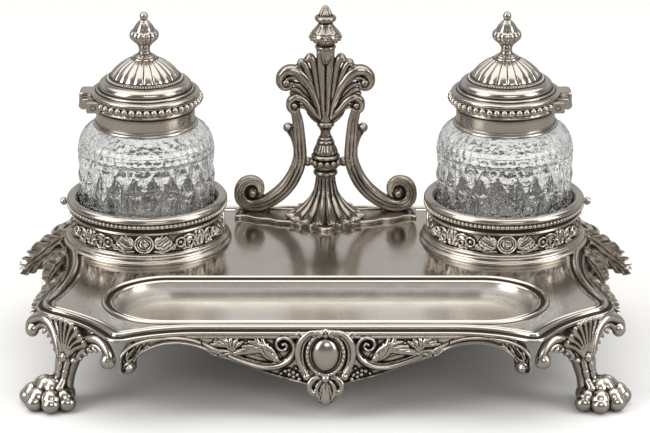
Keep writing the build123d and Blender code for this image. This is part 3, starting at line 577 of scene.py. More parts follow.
cast_silver = silver(
    "silver_cast", bump=0.14, Onset=-0.02, Spread=0.42, Mottle=0.12, Polish=0.22,
    Bright=(0.66, 0.625, 0.58, 1.0)
)
spiral = [
    (-51.5, 35.6, 0.5, 0.9), (-49.6, 33.6, 0.9, 1.4), (-45, 31.4, 1.2, 1.8),
    (-40.2, 29.2, 1.35, 2.1), (-34, 27.0, 1.45, 2.4), (-29, 25.9, 1.5, 2.6),
    (-23.5, 26.2, 1.5, 2.8), (-18.6, 28.4, 1.5, 2.9), (-15.7, 31.9, 1.4, 2.9),
    (-14.8, 35.8, 1.3, 2.8), (-16.2, 39.4, 1.2, 2.7), (-19.2, 41.0, 1.1, 2.6),
    (-22.2, 39.8, 1.0, 2.5), (-23.0, 37.2, 0.95, 2.4), (-21.7, 35.0, 0.9, 2.4),
    (-19.4, 34.8, 0.85, 2.4), (-18.1, 36.5, 0.8, 2.4), (-18.9, 38.1, 0.8, 2.5),
    (-20.0, 37.6, 1.0, 2.9),
]
inner_spiral = [(x + 0.5, z + 1.9, 0.45, 1.9) for x, z, _, _ in spiral[2:8]]
arch_top = [
    (-90.4, 27.2, 0.9, 2.0), (-92.6, 25.3, 1.1, 2.2), (-95.2, 26.6, 1.1, 2.4),
    (-96.1, 30.0, 1.1, 2.5), (-95.9, 33.5, 1.1, 2.6), (-94.2, 36.8, 1.1, 2.7),
    (-91.2, 39.2, 1.1, 2.7), (-87, 40.5, 1.1, 2.7), (-82, 41.1, 1.1, 2.7), (-76, 41.3, 1.1, 2.6),
    (-70, 41.0, 1.05, 2.5), (-64.5, 40.2, 1.0, 2.4), (-59.5, 38.6, 0.95, 2.2),
    (-56, 36.9, 0.85, 2.0), (-53.2, 35.2, 0.7, 1.8),
]
arch_under = [
    (-89.6, 31.4, 0.8, 1.6), (-88.0, 33.4, 1.0, 1.9), (-85.2, 35.7, 1.15, 2.1),
    (-81.5, 37.3, 1.2, 2.2), (-76.6, 38.4, 1.25, 2.2), (-71.2, 38.6, 1.25, 2.2),
    (-66, 38.1, 1.2, 2.2), (-60.7, 36.8, 1.15, 2.1), (-56.5, 35.0, 1.1, 2.0),
    (-53.6, 33.0, 1.0, 1.9), (-51.4, 31.9, 0.8, 1.7),
]
eye = [[(-91.4, 28.6, 2.5, 3.4)], [(-91.4, 28.6, 3.5, 1.6)]]
husk = fan((-92.6, 31.4), [(-92.4, 36.6), (-89.4, 37.9), (-86.2, 38.6), (-82.6, 39.6)], 0.75, 1.5,
    0.1)
big_leaf = fan(
    (-21.8, 28.8),
    [(-23.6, 31.4), (-25.4, 33.8), (-27.4, 37.2), (-29.6, 39.8), (-32.6, 40.6), (-35.6, 38.6),
     (-38.6, 36.2), (-42.0, 34.0), (-44.8, 32.4)],
    1.75, 2.5, 0.16,
)
leaf_body = [(-23.0, 30.6, 2.2, 0.7), (-28.6, 34.4, 4.0, 0.9), (-35.0, 35.6, 3.4, 0.9),
    (-42.0, 33.0, 1.8, 0.7)]
small_leaf = fan(
    (-43.0, 33.6),
    [(-39.0, 38.6), (-41.4, 40.0), (-44.2, 41.0), (-47.0, 41.2), (-49.6, 40.4), (-51.8, 38.8),
    (-53.4, 37.4)],
    1.3, 2.1, 0.14,
)
small_body = [(-42.6, 34.6, 1.8, 0.7), (-45.4, 37.8, 3.2, 0.8), (-50.4, 38.4, 2.0, 0.7)]
low_leaf = fan((-42.6, 32.8), [(-57.4, 37.8), (-56.6, 35.8), (-53.4, 33.8), (-49.6, 31.8)], 1.25,
    2.1, 0.08)
buds = [
    [(x, z, r, 1.5)] for x, z, r in (
        (-18.9, 23.8, 1.1), (-16.9, 22.0, 1.1), (-14.9, 20.9, 1.0), (-17.0, 24.2, 1.0),
        (-14.9, 23.0, 1.1), (-13.0, 21.8, 1.1), (-12.2, 19.6, 1.2), (-13.8, 25.3, 0.9),
        (-20.9, 22.7, 0.8),
    )
]
edge_roll = [[(-97.5, 41.0, 0.9, 1.2), (-50, 41.0, 0.9, 1.2), (-20, 41.0, 1.0, 1.4),
    (0, 41.0, 1.0, 1.4)]]
low_roll = [[(-34, 25.1, 0.5, 1.2), (-24, 21.8, 0.6, 1.3), (-13, 18.6, 0.6, 1.3),
    (0, 15.2, 0.6, 1.2)]]
strokes = [leaf_body, small_body, *low_leaf, spiral, inner_spiral, arch_top, arch_under, *eye,
    *husk, *big_leaf, *small_leaf, *buds]
across = np.concatenate([np.linspace(-96.9, -88.3, 34), np.linspace(-88.2, 88.2, 540),
    np.linspace(88.3, 96.9, 34)])
horn_top = np.interp(
    np.abs(across), [88.0, 91.2, 93.6, 95.4, 96.4, 96.9], [under_z, 41.4, 39.6, 36.4, 33.0, 30.0]
)
front_strip = chased_strip(
    "front_strip", across, apron_low(across), long_face, horn_top, strokes + edge_roll + low_roll,
    cast_silver
)
rear_strip = reflected(front_strip, "rear_strip", 1)
for strip, node in ((front_strip, "front_apron"), (rear_strip, "rear_apron")):
    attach(strip, "stand")
    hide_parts(node)


# ---- Side aprons ----
# The same cast strip in the hollow of each side, with two scrolls and a small pendant leaf.
def side_low(across):
    """The side apron's lower edge."""
    edge = np.array([
        (0, 21.6), (2.5, 22.2), (4.5, 24.4), (6.0, 27.6), (12, 31.0), (18, 33.2), (24, 35.2),
        (29, 37.0), (34, 37.7), (38.5, 36.8), (41.5, 34.6), (43.8, 34.0), (44, 34.2),
    ])
    return np.interp(np.abs(across), edge[:, 0], edge[:, 1])


def side_face(across, lift, up):
    """A point of the left apron's face, across the depth of the stand."""
    waist, hollow = 123.0, 117.33
    reach = 3.6 + lift
    out = waist + hollow - np.sqrt((hollow - reach) ** 2 - across**2)
    return np.stack([-out, across, up], axis=-1)


side_scroll = [
    (-43.0, 35.4, 0.7, 1.4), (-41.4, 36.4, 0.9, 1.8), (-38, 38.4, 1.0, 2.1), (-33, 39.4, 1.1, 2.2),
    (-27, 38.6, 1.2, 2.3), (-20, 36.2, 1.2, 2.3), (-13.5, 33.6, 1.2, 2.4), (-9.0, 33.0, 1.2, 2.4),
    (-6.4, 35.2, 1.1, 2.4), (-6.6, 38.4, 1.0, 2.3), (-9.2, 39.8, 0.9, 2.3),
    (-11.6, 38.2, 0.9, 2.2), (-10.8, 36.2, 0.9, 2.4), (-9.3, 36.9, 1.0, 2.6),
]
side_leaf = fan((-13.5, 34.4), [(-14.5, 39.6), (-17.6, 40.6), (-20.8, 40.6), (-24, 40.4)], 1.1, 1.7)
pendant = fan((0, 34.5), [(0, 23.2), (-2.4, 25.0), (-4.2, 27.8)], 1.3, 2.4, 0.1)
dome = [[(0, 36.8, 3.0, 3.0)], [(0, 36.8, 4.2, 1.2)]]
side_across = np.linspace(-44, 44, 260)
left_strip = chased_strip(
    "left_strip", side_across, side_low(side_across), side_face, under_z,
    [side_scroll, *side_leaf, *pendant, *dome, [(-44, 41.0, 0.9, 1.2), (0, 41.0, 0.9, 1.2)]],
    cast_silver, rows=64,
)
right_strip = reflected(left_strip, "right_strip", 0)
for strip, node in ((left_strip, "left_apron"), (right_strip, "right_apron")):
    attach(strip, "stand")
    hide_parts(node)


# ---- Cartouches ----
# A plain domed oval in a beaded frame between two C-scrolls, with a shell crest over it and a
# fluted pendant under it, cast in one and soldered on the apron's point. The back one is guessed.
def full_turn(count):
    """Even angles once round."""
    return np.linspace(0, 2 * math.pi, count, endpoint=False)


def tube(run, sides=12, flat=1.0, facing=None, detail=6):
    """A round bar along a run of (x, y, z, radius) with domed ends, flattened along one way."""
    run = np.asarray(run, float)
    run = flow(run, max(3, detail * (len(run) - 1) + 1)) if len(run) > 2 else flow(run, 5)
    centre, radius = run[:, :3], np.maximum(run[:, 3], 0.08)
    way = np.gradient(centre, axis=0)
    way /= np.linalg.norm(way, axis=1)[:, None] + 1e-12
    angle = np.array((90, 60, 30)) * math.pi / 180
    first = [centre[0] - way[0] * radius[0] * math.sin(a) for a in angle]
    last = [centre[-1] + way[-1] * radius[-1] * math.sin(a) for a in angle[::-1]]
    size = np.concatenate([radius[0] * np.cos(angle), radius, radius[-1] * np.cos(angle[::-1])])
    centre = np.concatenate([first, centre, last])
    way = np.concatenate([np.repeat(way[:1], 3, 0), way, np.repeat(way[-1:], 3, 0)])
    facing = np.array((0.13, 0.17, 0.98) if facing is None else facing, float)
    side = np.cross(way, facing)
    weak = np.linalg.norm(side, axis=1) < 0.15
    side[weak] = np.cross(way[weak], (0.98, 0.1, 0.17))
    side /= np.linalg.norm(side, axis=1)[:, None]
    up = np.cross(side, way)
    turn = full_turn(sides)
    ring = np.cos(turn)[None, :, None] * side[:, None] + flat * np.sin(turn)[None, :, None] * up[:,
        None]
    return grid(centre[:, None] + np.maximum(size, 0.01)[:, None, None] * ring, wrap=True)


def ball(centre, radii, turned=None, rows=14, sides=22):
    """An ellipsoid, with its axes turned by a matrix if given."""
    polar = np.linspace(0, math.pi, rows)[:, None]
    turn = full_turn(sides)[None, :]
    polar, turn = np.broadcast_arrays(polar, turn)
    unit = np.stack([np.sin(polar) * np.cos(turn), np.sin(polar) * np.sin(turn), np.cos(polar)],
        axis=-1)
    unit = unit * (np.ones(3) * radii)
    if turned is not None:
        unit = unit @ np.asarray(turned).T
    return grid(unit + np.asarray(centre, float), wrap=True)


def cast(name, shapes, coat, voxel=0.4, ease=1, floor=None):
    """Several overlapping shapes cast as one skin."""
    rough = mesh_of(name + "_pattern", joined([welded(s) for s in shapes]), outward=False)
    rough.transform(Matrix.Scale(1000, 4))
    model = placed(name + "_pattern", rough)
    skin = model.modifiers.new("skin", "REMESH")
    skin.mode = "VOXEL"
    skin.voxel_size = voxel * 1.0
    view = bpy.context.evaluated_depsgraph_get()
    mesh = bpy.data.meshes.new_from_object(model.evaluated_get(view))
    bpy.data.objects.remove(model)
    bpy.data.meshes.remove(rough)
    count = len(mesh.vertices)
    points = read_out(mesh.vertices, "co", 3).astype(float)
    ends = read_out(mesh.edges, "vertices", 2, np.int32)
    one, two = np.concatenate([ends, ends[:, ::-1]]).T
    total = np.bincount(one, minlength=count) + 1e-9
    for _ in range(ease):
        for weight in (0.5, -0.53):
            pulled = np.stack([np.bincount(one, points[two, k], count) / total for k in range(3)],
                axis=1)
            points = points + weight * (pulled - points)
    if floor is not None:
        points[:, 2] = np.maximum(points[:, 2], floor)
    corners = read_out(mesh.loops, "vertex_index", kind=np.int32)
    starts = read_out(mesh.polygons, "loop_start", kind=np.int32)
    totals = read_out(mesh.polygons, "loop_total", kind=np.int32)
    groups = [
        corners[starts[totals == k][:, None] + np.arange(k)] for k in (3, 4) if (totals == k).any()
    ]
    bpy.data.meshes.remove(mesh)
    return piece(name, (points, groups, np.zeros(count)), coat, outward=False, crease=75.0)


face_y = -88.1
boss_x, boss_z = 6.3, 8.2
heart_z = 33.2


def oval(wide, high, depth, radius, count=40):
    """A run of bar round the cartouche's oval."""
    turn = np.radians(np.linspace(0, 360, count))
    return np.column_stack([
        wide * np.sin(turn), np.full(count, face_y - depth), heart_z + high * np.cos(turn),
        np.full(count, radius),
    ])


def bar(side, run):
    """A bar over the cartouche's face along (across, outward, up, radius), on one side."""
    return tube([(side * x, face_y - d, z, r) for x, d, z, r in run])


shapes = [
    ball((0, face_y - 0.2, heart_z), (12.4, 2.2, 11.8)),
    ball((0, face_y - 2.0, heart_z), (boss_x, 3.9, boss_z), rows=30, sides=48),
    tube(oval(8.6, 10.4, 2.2, 1.0), detail=1), tube(oval(7.2, 9.0, 2.0, 0.45), detail=1),
]
for turn in np.radians(np.arange(0, 360, 12)):
    shapes.append(ball((8.6 * math.sin(turn), face_y - 2.9, heart_z + 10.4 * math.cos(turn)), 0.72,
        rows=8, sides=10))
for s in (-1, 1):
    shapes += [
        bar(s, [
            (3.2, 2.8, 43.4, 1.1), (5.0, 3.0, 44.4, 1.2), (8.2, 2.8, 43.6, 1.3),
            (11.0, 2.6, 40.8, 1.4), (12.7, 2.4, 36.8, 1.45), (12.9, 2.2, 32.0, 1.4),
            (11.9, 2.0, 27.8, 1.3), (9.8, 2.0, 24.0, 1.2),
            (8.6, 2.2, 22.4, 1.4)]),
        bar(s, [
            (6.6, 2.0, 42.4, 0.6), (9.4, 2.0, 39.8, 0.7), (10.9, 1.9, 35.6, 0.75),
            (11.0, 1.8, 31.2, 0.75),
            (10.1, 1.7, 27.2, 0.7), (8.4, 1.7, 24.2, 0.6)]),
        bar(s, [
            (12.4, 2.0, 41.6, 0.7), (13.6, 2.2, 42.8, 0.9), (12.6, 2.4, 44.0, 0.8),
            (11.2, 2.2, 43.2, 0.7)]),
        tube([(s * 3.4, face_y - 3.0, 42.6, 1.0), (s * 2.2, face_y - 3.4, 43.9, 1.3),
        (s * 3.6, face_y - 3.4, 45.0, 1.0)]),
        ball((s * 9.0, face_y - 2.2, 21.8), 1.7),
        bar(s, [
            (2.6, 1.6, 21.6, 1.0), (5.6, 2.2, 20.8, 1.4), (7.6, 2.4, 17.8, 1.5),
            (7.2, 2.4, 14.8, 1.4),
            (5.4, 2.4, 13.6, 1.5)]),
        bar(s, [
            (1.6, 1.6, 20.0, 0.8), (3.6, 2.2, 17.6, 1.0), (4.4, 2.4, 14.4, 1.1),
            (3.6, 2.4, 11.8, 1.0)]),
        bar(s, [
            (1.0, 1.8, 19.0, 0.7), (2.2, 2.2, 14.0, 0.9), (3.0, 2.2, 10.4, 0.9)]),
    ]
for x, z, r in ((0, 45.2, 1.3), (-1.9, 44.7, 1.1), (1.9, 44.7, 1.1), (0, 43.0, 1.2),
    (0, 21.2, 1.9)):
    shapes.append(ball((x, face_y - 3.0, z), r))
shapes += [
    tube([(0, face_y - 1.8, 20.5, 1.0), (0, face_y - 2.6, 15.5, 1.5), (0, face_y - 2.4, 10.6, 2.5),
    (0, face_y - 2.0, 9.2, 2.4)], sides=18, flat=0.8, facing=(0, 1, 0)),
    ball((0, face_y - 0.4, 14.5), (7.0, 1.9, 7.4)),
]
front_shield = cast("front_shield", shapes, cast_silver, voxel=0.3)
rear_shield = reflected(front_shield, "rear_shield", 1)
for shield, node in ((front_shield, "front_cartouche"), (rear_shield, "rear_cartouche")):
    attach(shield, "stand")
    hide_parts(node)


# ---- Side leaves ----
# Cast acanthus leaves that sweep forward and out from the lip in the hollow of each side, four to
# a side, soldered behind the lip. Their edges are lobed and a vein runs out to each lobe.
def leaf(spine, aside, lobes, arch, vein, cut=0.16, slant=1.0, thick=1.0, steps=13):
    """A lobed leaf along a run of (x, y, z, half width), spread to both sides of its rib."""
    count = steps * lobes
    run = flow(spine, count)
    way = np.gradient(run[:, :3], axis=0)
    way /= np.linalg.norm(way, axis=1)[:, None]
    aside = np.broadcast_to(np.asarray(aside, float), way.shape)
    aside = aside - (aside * way).sum(axis=1)[:, None] * way
    aside /= np.linalg.norm(aside, axis=1)[:, None]
    over = np.cross(way, aside)
    over *= np.sign(over[:, 2:3].mean()) or 1.0
    along = np.linspace(0, 1, count)[:, None]
    across = np.linspace(-1, 1, 29)[None, :]
    wave = 0.5 + 0.5 * np.cos(2 * math.pi * (lobes * along + 0.5))
    width = run[:, 3:4] * (1 - cut * (1 - wave) ** 2)
    reach = np.linalg.norm(np.diff(run[:, :3], axis=0), axis=1).sum()
    height = arch * (1 - across**2) + vein * (wave - 0.5) * np.abs(across) ** 0.7 * 2
    rib = np.exp(-((across / 0.09) ** 2))
    furrow = np.exp(-(((np.abs(across) - 0.2) / 0.08) ** 2))
    height = height + 0.7 * vein * rib - 0.6 * vein * furrow
    shift = slant * run[:, 3:4] * np.abs(across) ** 1.4
    top = (
        run[:, None, :3] + across[..., None] * width[..., None] * aside[:, None]
        + shift[..., None] * way[:, None] + height[..., None] * over[:, None]
    )
    low = top - (thick * (1 - 0.75 * across[..., None] ** 4)) * over[:, None]
    return grid(np.concatenate([top, low[:, ::-1]], axis=1), wrap=True)


lean = (0.34, -0.06, -0.94)
leaves = [
    leaf([(-123.5, 60, 42.0, 2.2), (-129.5, 47, 42.6, 5.2), (-136.0, 33, 42.4, 6.9),
    (-142.0, 19, 41.8, 6.2),
          (-146.8, 9, 41.2, 4.2), (-149.6, 2.6, 40.4, 1.3)], lean, lobes=7, arch=2.0, vein=0.34),
    leaf([(-125, 38, 40.6, 2.2), (-128.5, 24, 40.8, 4.8), (-132.4, 8, 40.8, 6.0),
    (-135.4, -6, 40.4, 5.0),
          (-137.4, -17, 39.6, 1.3)], lean, lobes=6, arch=1.9, vein=0.34),
    leaf([(-125.6, 2, 40.2, 1.8), (-129.6, -12, 39.8, 3.8), (-134.0, -26, 38.8, 4.8),
    (-138.0, -38, 37.6, 4.0),
          (-140.6, -47, 36.4, 1.3)], lean, lobes=6, arch=1.7, vein=0.32),
    leaf([(-124, 30, 37.6, 1.4), (-128.5, 14, 36.6, 3.2), (-132.0, 0, 35.8, 3.4),
    (-133.8, -12, 35.4, 1.0)],
         lean, lobes=5, arch=1.4, vein=0.3),
]
left_leaves = piece("left_leaves", joined(leaves), cast_silver, crease=60.0)
right_leaves = reflected(left_leaves, "right_leaves", 0)
for group, node in ((left_leaves, "left_leaf"), (right_leaves, "right_leaf")):
    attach(group, "stand")
    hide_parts(node)


# ---- Feet ----
# Cast paw feet set diagonally: a fluted shell and two scrolled arms form the knee, a sinewy leg
# drops to a paw of four toes. Solid castings, soldered into the corners under the plate.
foot_turn = math.radians(228.0)
out_way = np.array((math.cos(foot_turn), math.sin(foot_turn), 0.0))
along_way = np.array((-out_way[1], out_way[0], 0.0))
foot_heart = np.array((-120.5, -69.0, 0.0))
lip_line, lip_normal = plate_outline()
lip_line = -(lip_line + 4.4 * lip_normal) - foot_heart[:2]
lip_along, lip_out = lip_line @ along_way[:2], lip_line @ out_way[:2]
near_foot = np.abs(lip_along) < 24
lip_order = np.argsort(lip_along[near_foot])
lip_along, lip_out = lip_along[near_foot][lip_order], lip_out[near_foot][lip_order]


def foot(run):
    """Points given as (along the edge, out from it, up, radius...) in the foot's own directions."""
    run = np.atleast_2d(np.asarray(run, float))
    spot = foot_heart + run[:, :1] * along_way + run[:, 1:2] * out_way + run[:, 2:3] * (0, 0, 1)
    return np.concatenate([spot, run[:, 3:]], axis=1)


turned = np.column_stack([along_way, out_way, (0, 0, 1)])
shapes = []
sections = [
    (41.0, 0.0, -8.5, 14.6, 4.4), (34.0, 0.0, -5.6, 13.6, 5.0), (29.0, -0.4, -3.4, 11.4, 5.2),
    (25.0, -1.0, -0.6, 8.2, 5.2), (21.8, -1.6, 1.0, 6.7, 5.3), (17.5, -2.0, 2.0, 5.7, 5.0),
    (13.8, -2.4, 3.0, 5.4, 5.0), (10.0, -3.0, 4.6, 6.2, 6.0), (7.0, -3.4, 6.0, 7.2, 7.2),
]
turn = full_turn(40)
smooth = flow(sections, 50)
rings = [
    foot(np.column_stack([a + w * np.cos(turn), o + d * np.sin(turn), np.full(40, z)]))
    for z, a, o, w, d in smooth
]
rings = [np.tile(rings[0].mean(axis=0), (40, 1))] + rings + [np.tile(rings[-1].mean(axis=0),
    (40, 1))]
shapes.append(grid(np.array(rings), wrap=True))
for a, o in ((-4.4, 3.6), (-1.0, 6.0), (2.6, 5.6)):
    shapes.append(tube(foot([
        (a + 0.6, o - 0.8, 26.0, 1.3), (a, o + 1.0, 20.0, 1.5), (a - 0.8, o + 2.0, 14.5, 1.6),
        (1.5 * a - 1.8, o + 5.0, 11.0, 2.0)]), sides=10))
shell_root = (0.8, 6.0, 25.2)
for a in (-8.4, -5.4, -2.2, 1.0, 4.2, 7.2, 10.0, 12.4):
    rim = float(np.interp(a, lip_along, lip_out))
    top = 43.0 - 0.012 * (a + 2.0) ** 2 * (1.6 if a > 0 else 1.0) - max(a - 6, 0) * 0.55
    size = 1.75 - 0.03 * abs(a)
    middle = ((shell_root[0] + a) / 2 + 0.04 * a, 0.62 * shell_root[1] + 0.38 * rim - 0.4,
        0.45 * shell_root[2] + 0.55 * top)
    shapes.append(tube(foot([
        (shell_root[0] + 0.16 * a, shell_root[1] - 0.4, shell_root[2] + 0.5, 0.8),
        (*middle, 0.8 * size), (a, rim + 0.1, top - 1.8, size),
        (1.03 * a, rim + 1.0, top, 0.8 * size)]), sides=12))
    shapes.append(tube(foot([
        (shell_root[0] + 0.2 * a, shell_root[1] + 0.3, shell_root[2] + 1.0, 0.3),
        (middle[0], middle[1] + 0.85 * size, middle[2], 0.42),
        (a, rim + 0.1 + size, top - 1.6, 0.5)]), sides=8))
shapes.append(ball(foot([shell_root])[0], (2.2, 2.2, 2.5)))
shapes.append(ball(foot([(6.4, 4.6, 24.6)])[0], (1.9, 1.9, 1.7)))
shapes.append(ball(foot([(-5.4, 3.6, 25.2)])[0], (1.5, 1.5, 1.5)))
for s in (-1, 1):
    tilt = -1.5 * s
    arm = [
        (4.2, 4.2, 24.4, 1.4), (6.8, 2.6, 30.2, 1.9), (10.6, 1.0, 35.0, 2.2),
        (15.2, 0.2, 37.6, 2.4), (19.4, 0.0, 37.8, 2.4), (23.8, 0.2, 35.8, 2.4),
        (26.8, 0.6, 32.6, 2.3), (27.6, 0.8, 29.4, 2.1), (25.6, 1.0, 27.8, 1.8),
    ]
    inner = [
        (6.4, 3.8, 24.8, 0.9), (9.4, 2.4, 29.8, 1.0), (13.0, 1.2, 33.2, 1.1),
        (17.0, 0.8, 34.6, 1.1), (20.4, 0.8, 33.8, 1.1), (22.4, 1.0, 31.6, 1.0),
        (22.8, 1.4, 29.8, 1.0),
    ]
    web = [(5, 0.6, 27, 2.6), (9, -0.6, 31.6, 3.2), (14, -1.4, 35.0, 3.2), (19, -1.4, 35.4, 3.0),
        (23, -1.0, 32.4, 2.6)]
    for run, form in ((arm, {}), (inner, {}), (web, {"flat": 0.6, "facing": out_way})):
        bent = [(s * a, o, z + tilt * (a / 26) ** 2, r) for a, o, z, r in run]
        shapes.append(tube(foot(bent), **form))
    shapes.append(ball(foot([(s * 25.2, 1.6, 29.8 + tilt)])[0], (3.6, 3.0, 3.6), turned))
    for a, o, z in ((7.6, 3.0, 26.6), (10.2, 2.2, 29.2), (13.2, 1.6, 31.4), (16.6, 1.4, 32.4)):
        shapes.append(tube(foot([
            (s * (a - 0.6), o - 1.2, z + 1.8, 0.8), (s * a, o, z + tilt * 0.2, 1.1),
            (s * (a + 1.6), o - 0.4, z - 1.2, 0.7)]), sides=8))
paw = (-5.7, 7.8)
for spread in (-52, -3, 41, 82):
    turn_by = math.radians(spread)
    way_a, way_o = math.sin(turn_by), math.cos(turn_by)

    def digit(far, z, *rest):
        return (paw[0] + far * way_a, paw[1] + far * way_o, z, *rest)

    shapes.append(tube(foot([
        digit(-1.0, 10.4, 3.2), digit(2.6, 11.4, 3.7), digit(5.0, 10.2, 4.0),
        digit(6.8, 7.6, 3.4)]), sides=20))
    shapes.append(ball(foot([digit(9.2, 5.6)])[0], (5.0, 5.0, 5.4), sides=30, rows=20))
    shapes.append(ball(foot([digit(11.4, 4.2)])[0], (4.5, 4.5, 4.2), sides=30, rows=20))
shapes.append(ball(foot([(-4.6, 5.4, 5.2)])[0], (8.6, 8.6, 6.0)))
front_left_paw = cast("front_left_paw", shapes, cast_silver, voxel=0.36, ease=3, floor=0.0)
front_right_paw = reflected(front_left_paw, "front_right_paw", 0)
rear_left_paw = reflected(front_left_paw, "rear_left_paw", 1)
rear_right_paw = reflected(front_right_paw, "rear_right_paw", 1)
for thing, node in (
    (front_left_paw, "foot_front_left"), (front_right_paw, "foot_front_right"),
    (rear_left_paw, "foot_rear_left"), (rear_right_paw, "foot_rear_right"),
):
    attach(thing, "stand")
    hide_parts(node)


# ---- Bottle holders ----
# A spun double-step foot ring, a chased frieze band, a beaded wire and a rolled rim, soldered
# one on another and to the plate. A small stud stands on each wire at the outer side.
holder_x, holder_y = -89.0, 40.5


def spun(profile, count=256, shaping=None, dark=None, centre=(holder_x, holder_y)):
    """Metal turned about an upright axis from (radius, height) points; shaping may vary it."""
    profile = np.asarray(profile, float)
    turn = full_turn(count)[None, :]
    radius = np.broadcast_to(profile[:, :1], (len(profile), count)).copy()
    height = np.broadcast_to(profile[:, 1:2], radius.shape).copy()
    if shaping is not None:
        radius, height = shaping(radius, height, turn)
    surface = np.stack([centre[0] + radius * np.sin(turn), centre[1] - radius * np.cos(turn),
        height], axis=-1)
    return grid(surface, np.zeros((len(profile), 1)) if dark is None else np.asarray(dark,
        float)[:, None], wrap=True)


def rounded(points, steps=4):
    """A profile with smooth curves through its points."""
    return [tuple(p) for p in flow(points, steps * (len(points) - 1) + 1)]


spun_silver = silver("silver_spun", bump=0.22, Onset=0.04, Spread=0.4, Mottle=0.09, Polish=0.2)
flange = rounded([
    (35.3, 48.6), (35.0, 44.0), (35.6, 43.9), (41.0, 43.9), (41.9, 44.3), (41.9, 45.0),
    (41.1, 45.5), (40.8, 45.8), (40.6, 46.3), (40.9, 46.8), (40.6, 47.4), (39.4, 47.8),
    (38.8, 48.3), (38.4, 48.6), (35.3, 48.6),
], 3)
left_flange = piece("left_flange", spun(flange), spun_silver)

frieze_reach, frieze_low, frieze_high, frieze_round = 37.5, 48.6, 58.8, 38.4
rows = 52
quarter = 2 * math.pi * frieze_round / 4
turn = full_turn(1440)
along = (turn * frieze_round + quarter / 2) % quarter - quarter / 2
wide, up = np.meshgrid(np.abs(along), np.linspace(frieze_low, frieze_high, rows))
mid = (frieze_low + frieze_high) / 2
ring = np.radians(np.linspace(0, 360, 26))


def hoop(x, z, wide, high, radius, rise, part=26):
    """A round stroke of the frieze, whole or open."""
    return [(x + wide * math.sin(a), z + high * math.cos(a), radius, rise) for a in ring[:part]]


medallion = [
    hoop(0.0, mid + 0.2, 4.5, 4.3, 0.62, 1.25), hoop(0.0, mid + 0.2, 3.3, 3.1, 0.4, 0.95),
    [(0.0, mid + 0.2, 2.5, 0.95)],
]
rosette = [hoop(18.8, mid, 2.3, 2.3, 0.6, 1.2), [(18.8, mid, 0.95, 1.3)]]
curls = [
    hoop(24.4, mid - 1.2, 1.6, 1.6, 0.5, 1.1, 22), hoop(14.6, mid - 2.0, 1.3, 1.3, 0.45, 1.0, 22),
    [(5.2, 50.0, 0.5, 0.9), (8.6, 49.7, 0.6, 1.0), (12.0, 50.2, 0.6, 1.0), (16.0, 52.6, 0.6, 1.0)],
    [(20.6, 56.2, 0.55, 1.0), (23.2, 57.0, 0.6, 1.0), (26.2, 56.0, 0.55, 1.0),
    (27.6, 53.6, 0.5, 1.0)],
]
bodies = [
    [(6.4, 53.0, 1.6, 0.35), (9.6, 55.0, 2.6, 0.4), (13.0, 53.6, 1.6, 0.35)],
    [(29.0, 51.6, 2.4, 0.35), (28.6, 55.4, 2.4, 0.35)],
    [(21.6, 51.0, 1.6, 0.3), (24.6, 55.0, 2.0, 0.3)],
]
acanthus = fan((5.8, 51.8),
    [(6.8, 57.2), (9.0, 57.8), (11.4, 57.4), (13.2, 55.6), (13.8, 53.4), (11.8, 51.6)], 0.85, 1.2)
husks = fan((30.15, 50.0), [(30.15, 57.6), (27.8, 56.6), (26.6, 53.6), (28.0, 51.0)], 0.9, 1.2)
more = fan((22.0, 50.2), [(20.4, 50.0), (21.4, 52.0), (23.6, 50.4), (25.8, 50.2)], 0.6, 0.9)
lines = [[(0, frieze_low + 0.25, 0.35, 0.7), (31, frieze_low + 0.25, 0.35, 0.7)],
         [(0, frieze_high - 0.25, 0.35, 0.7), (31, frieze_high - 0.25, 0.35, 0.7)]]
relief = carve(np.zeros(wide.shape), wide, up,
    bodies + medallion + rosette + curls + acanthus + husks + more + lines)
reach = frieze_reach + relief
face = np.stack([
    np.broadcast_to(np.sin(turn), reach.shape) * reach,
    -np.broadcast_to(np.cos(turn), reach.shape) * reach, up
], axis=-1) + (holder_x, holder_y, 0)
# Painted shade on the frieze's ground between the relief, and a little painted light on the relief.
frieze_painted_shade = np.clip(0.25 - relief, 0, 0.25) * 1.2 - 0.1
upper = rounded([
    (38.0, 58.8), (38.3, 59.1), (38.1, 59.5), (37.6, 59.8), (37.35, 60.4), (37.5, 61.2),
    (38.0, 61.8), (38.2, 62.2),
], 3)
wall = [(35.0, 62.2), (35.0, 55.0), (35.0, 48.6), (37.5, 48.6)]
parts = [grid(face, frieze_painted_shade), spun(upper, 1440), spun(wall[:1] + [(38.2, 62.2)], 1440),
    spun(wall, 1440)]
left_band = piece("left_band", joined(parts), cast_silver)

groove = [(35.0, 64.4), (37.6, 64.4), (37.4, 63.3), (37.6, 62.2), (35.0, 62.2), (35.0, 64.4)]
# The groove behind the beads is painted nearly black: painted shade under and between the beads.
left_groove = spun(groove, 200, dark=[0.9] * 6)


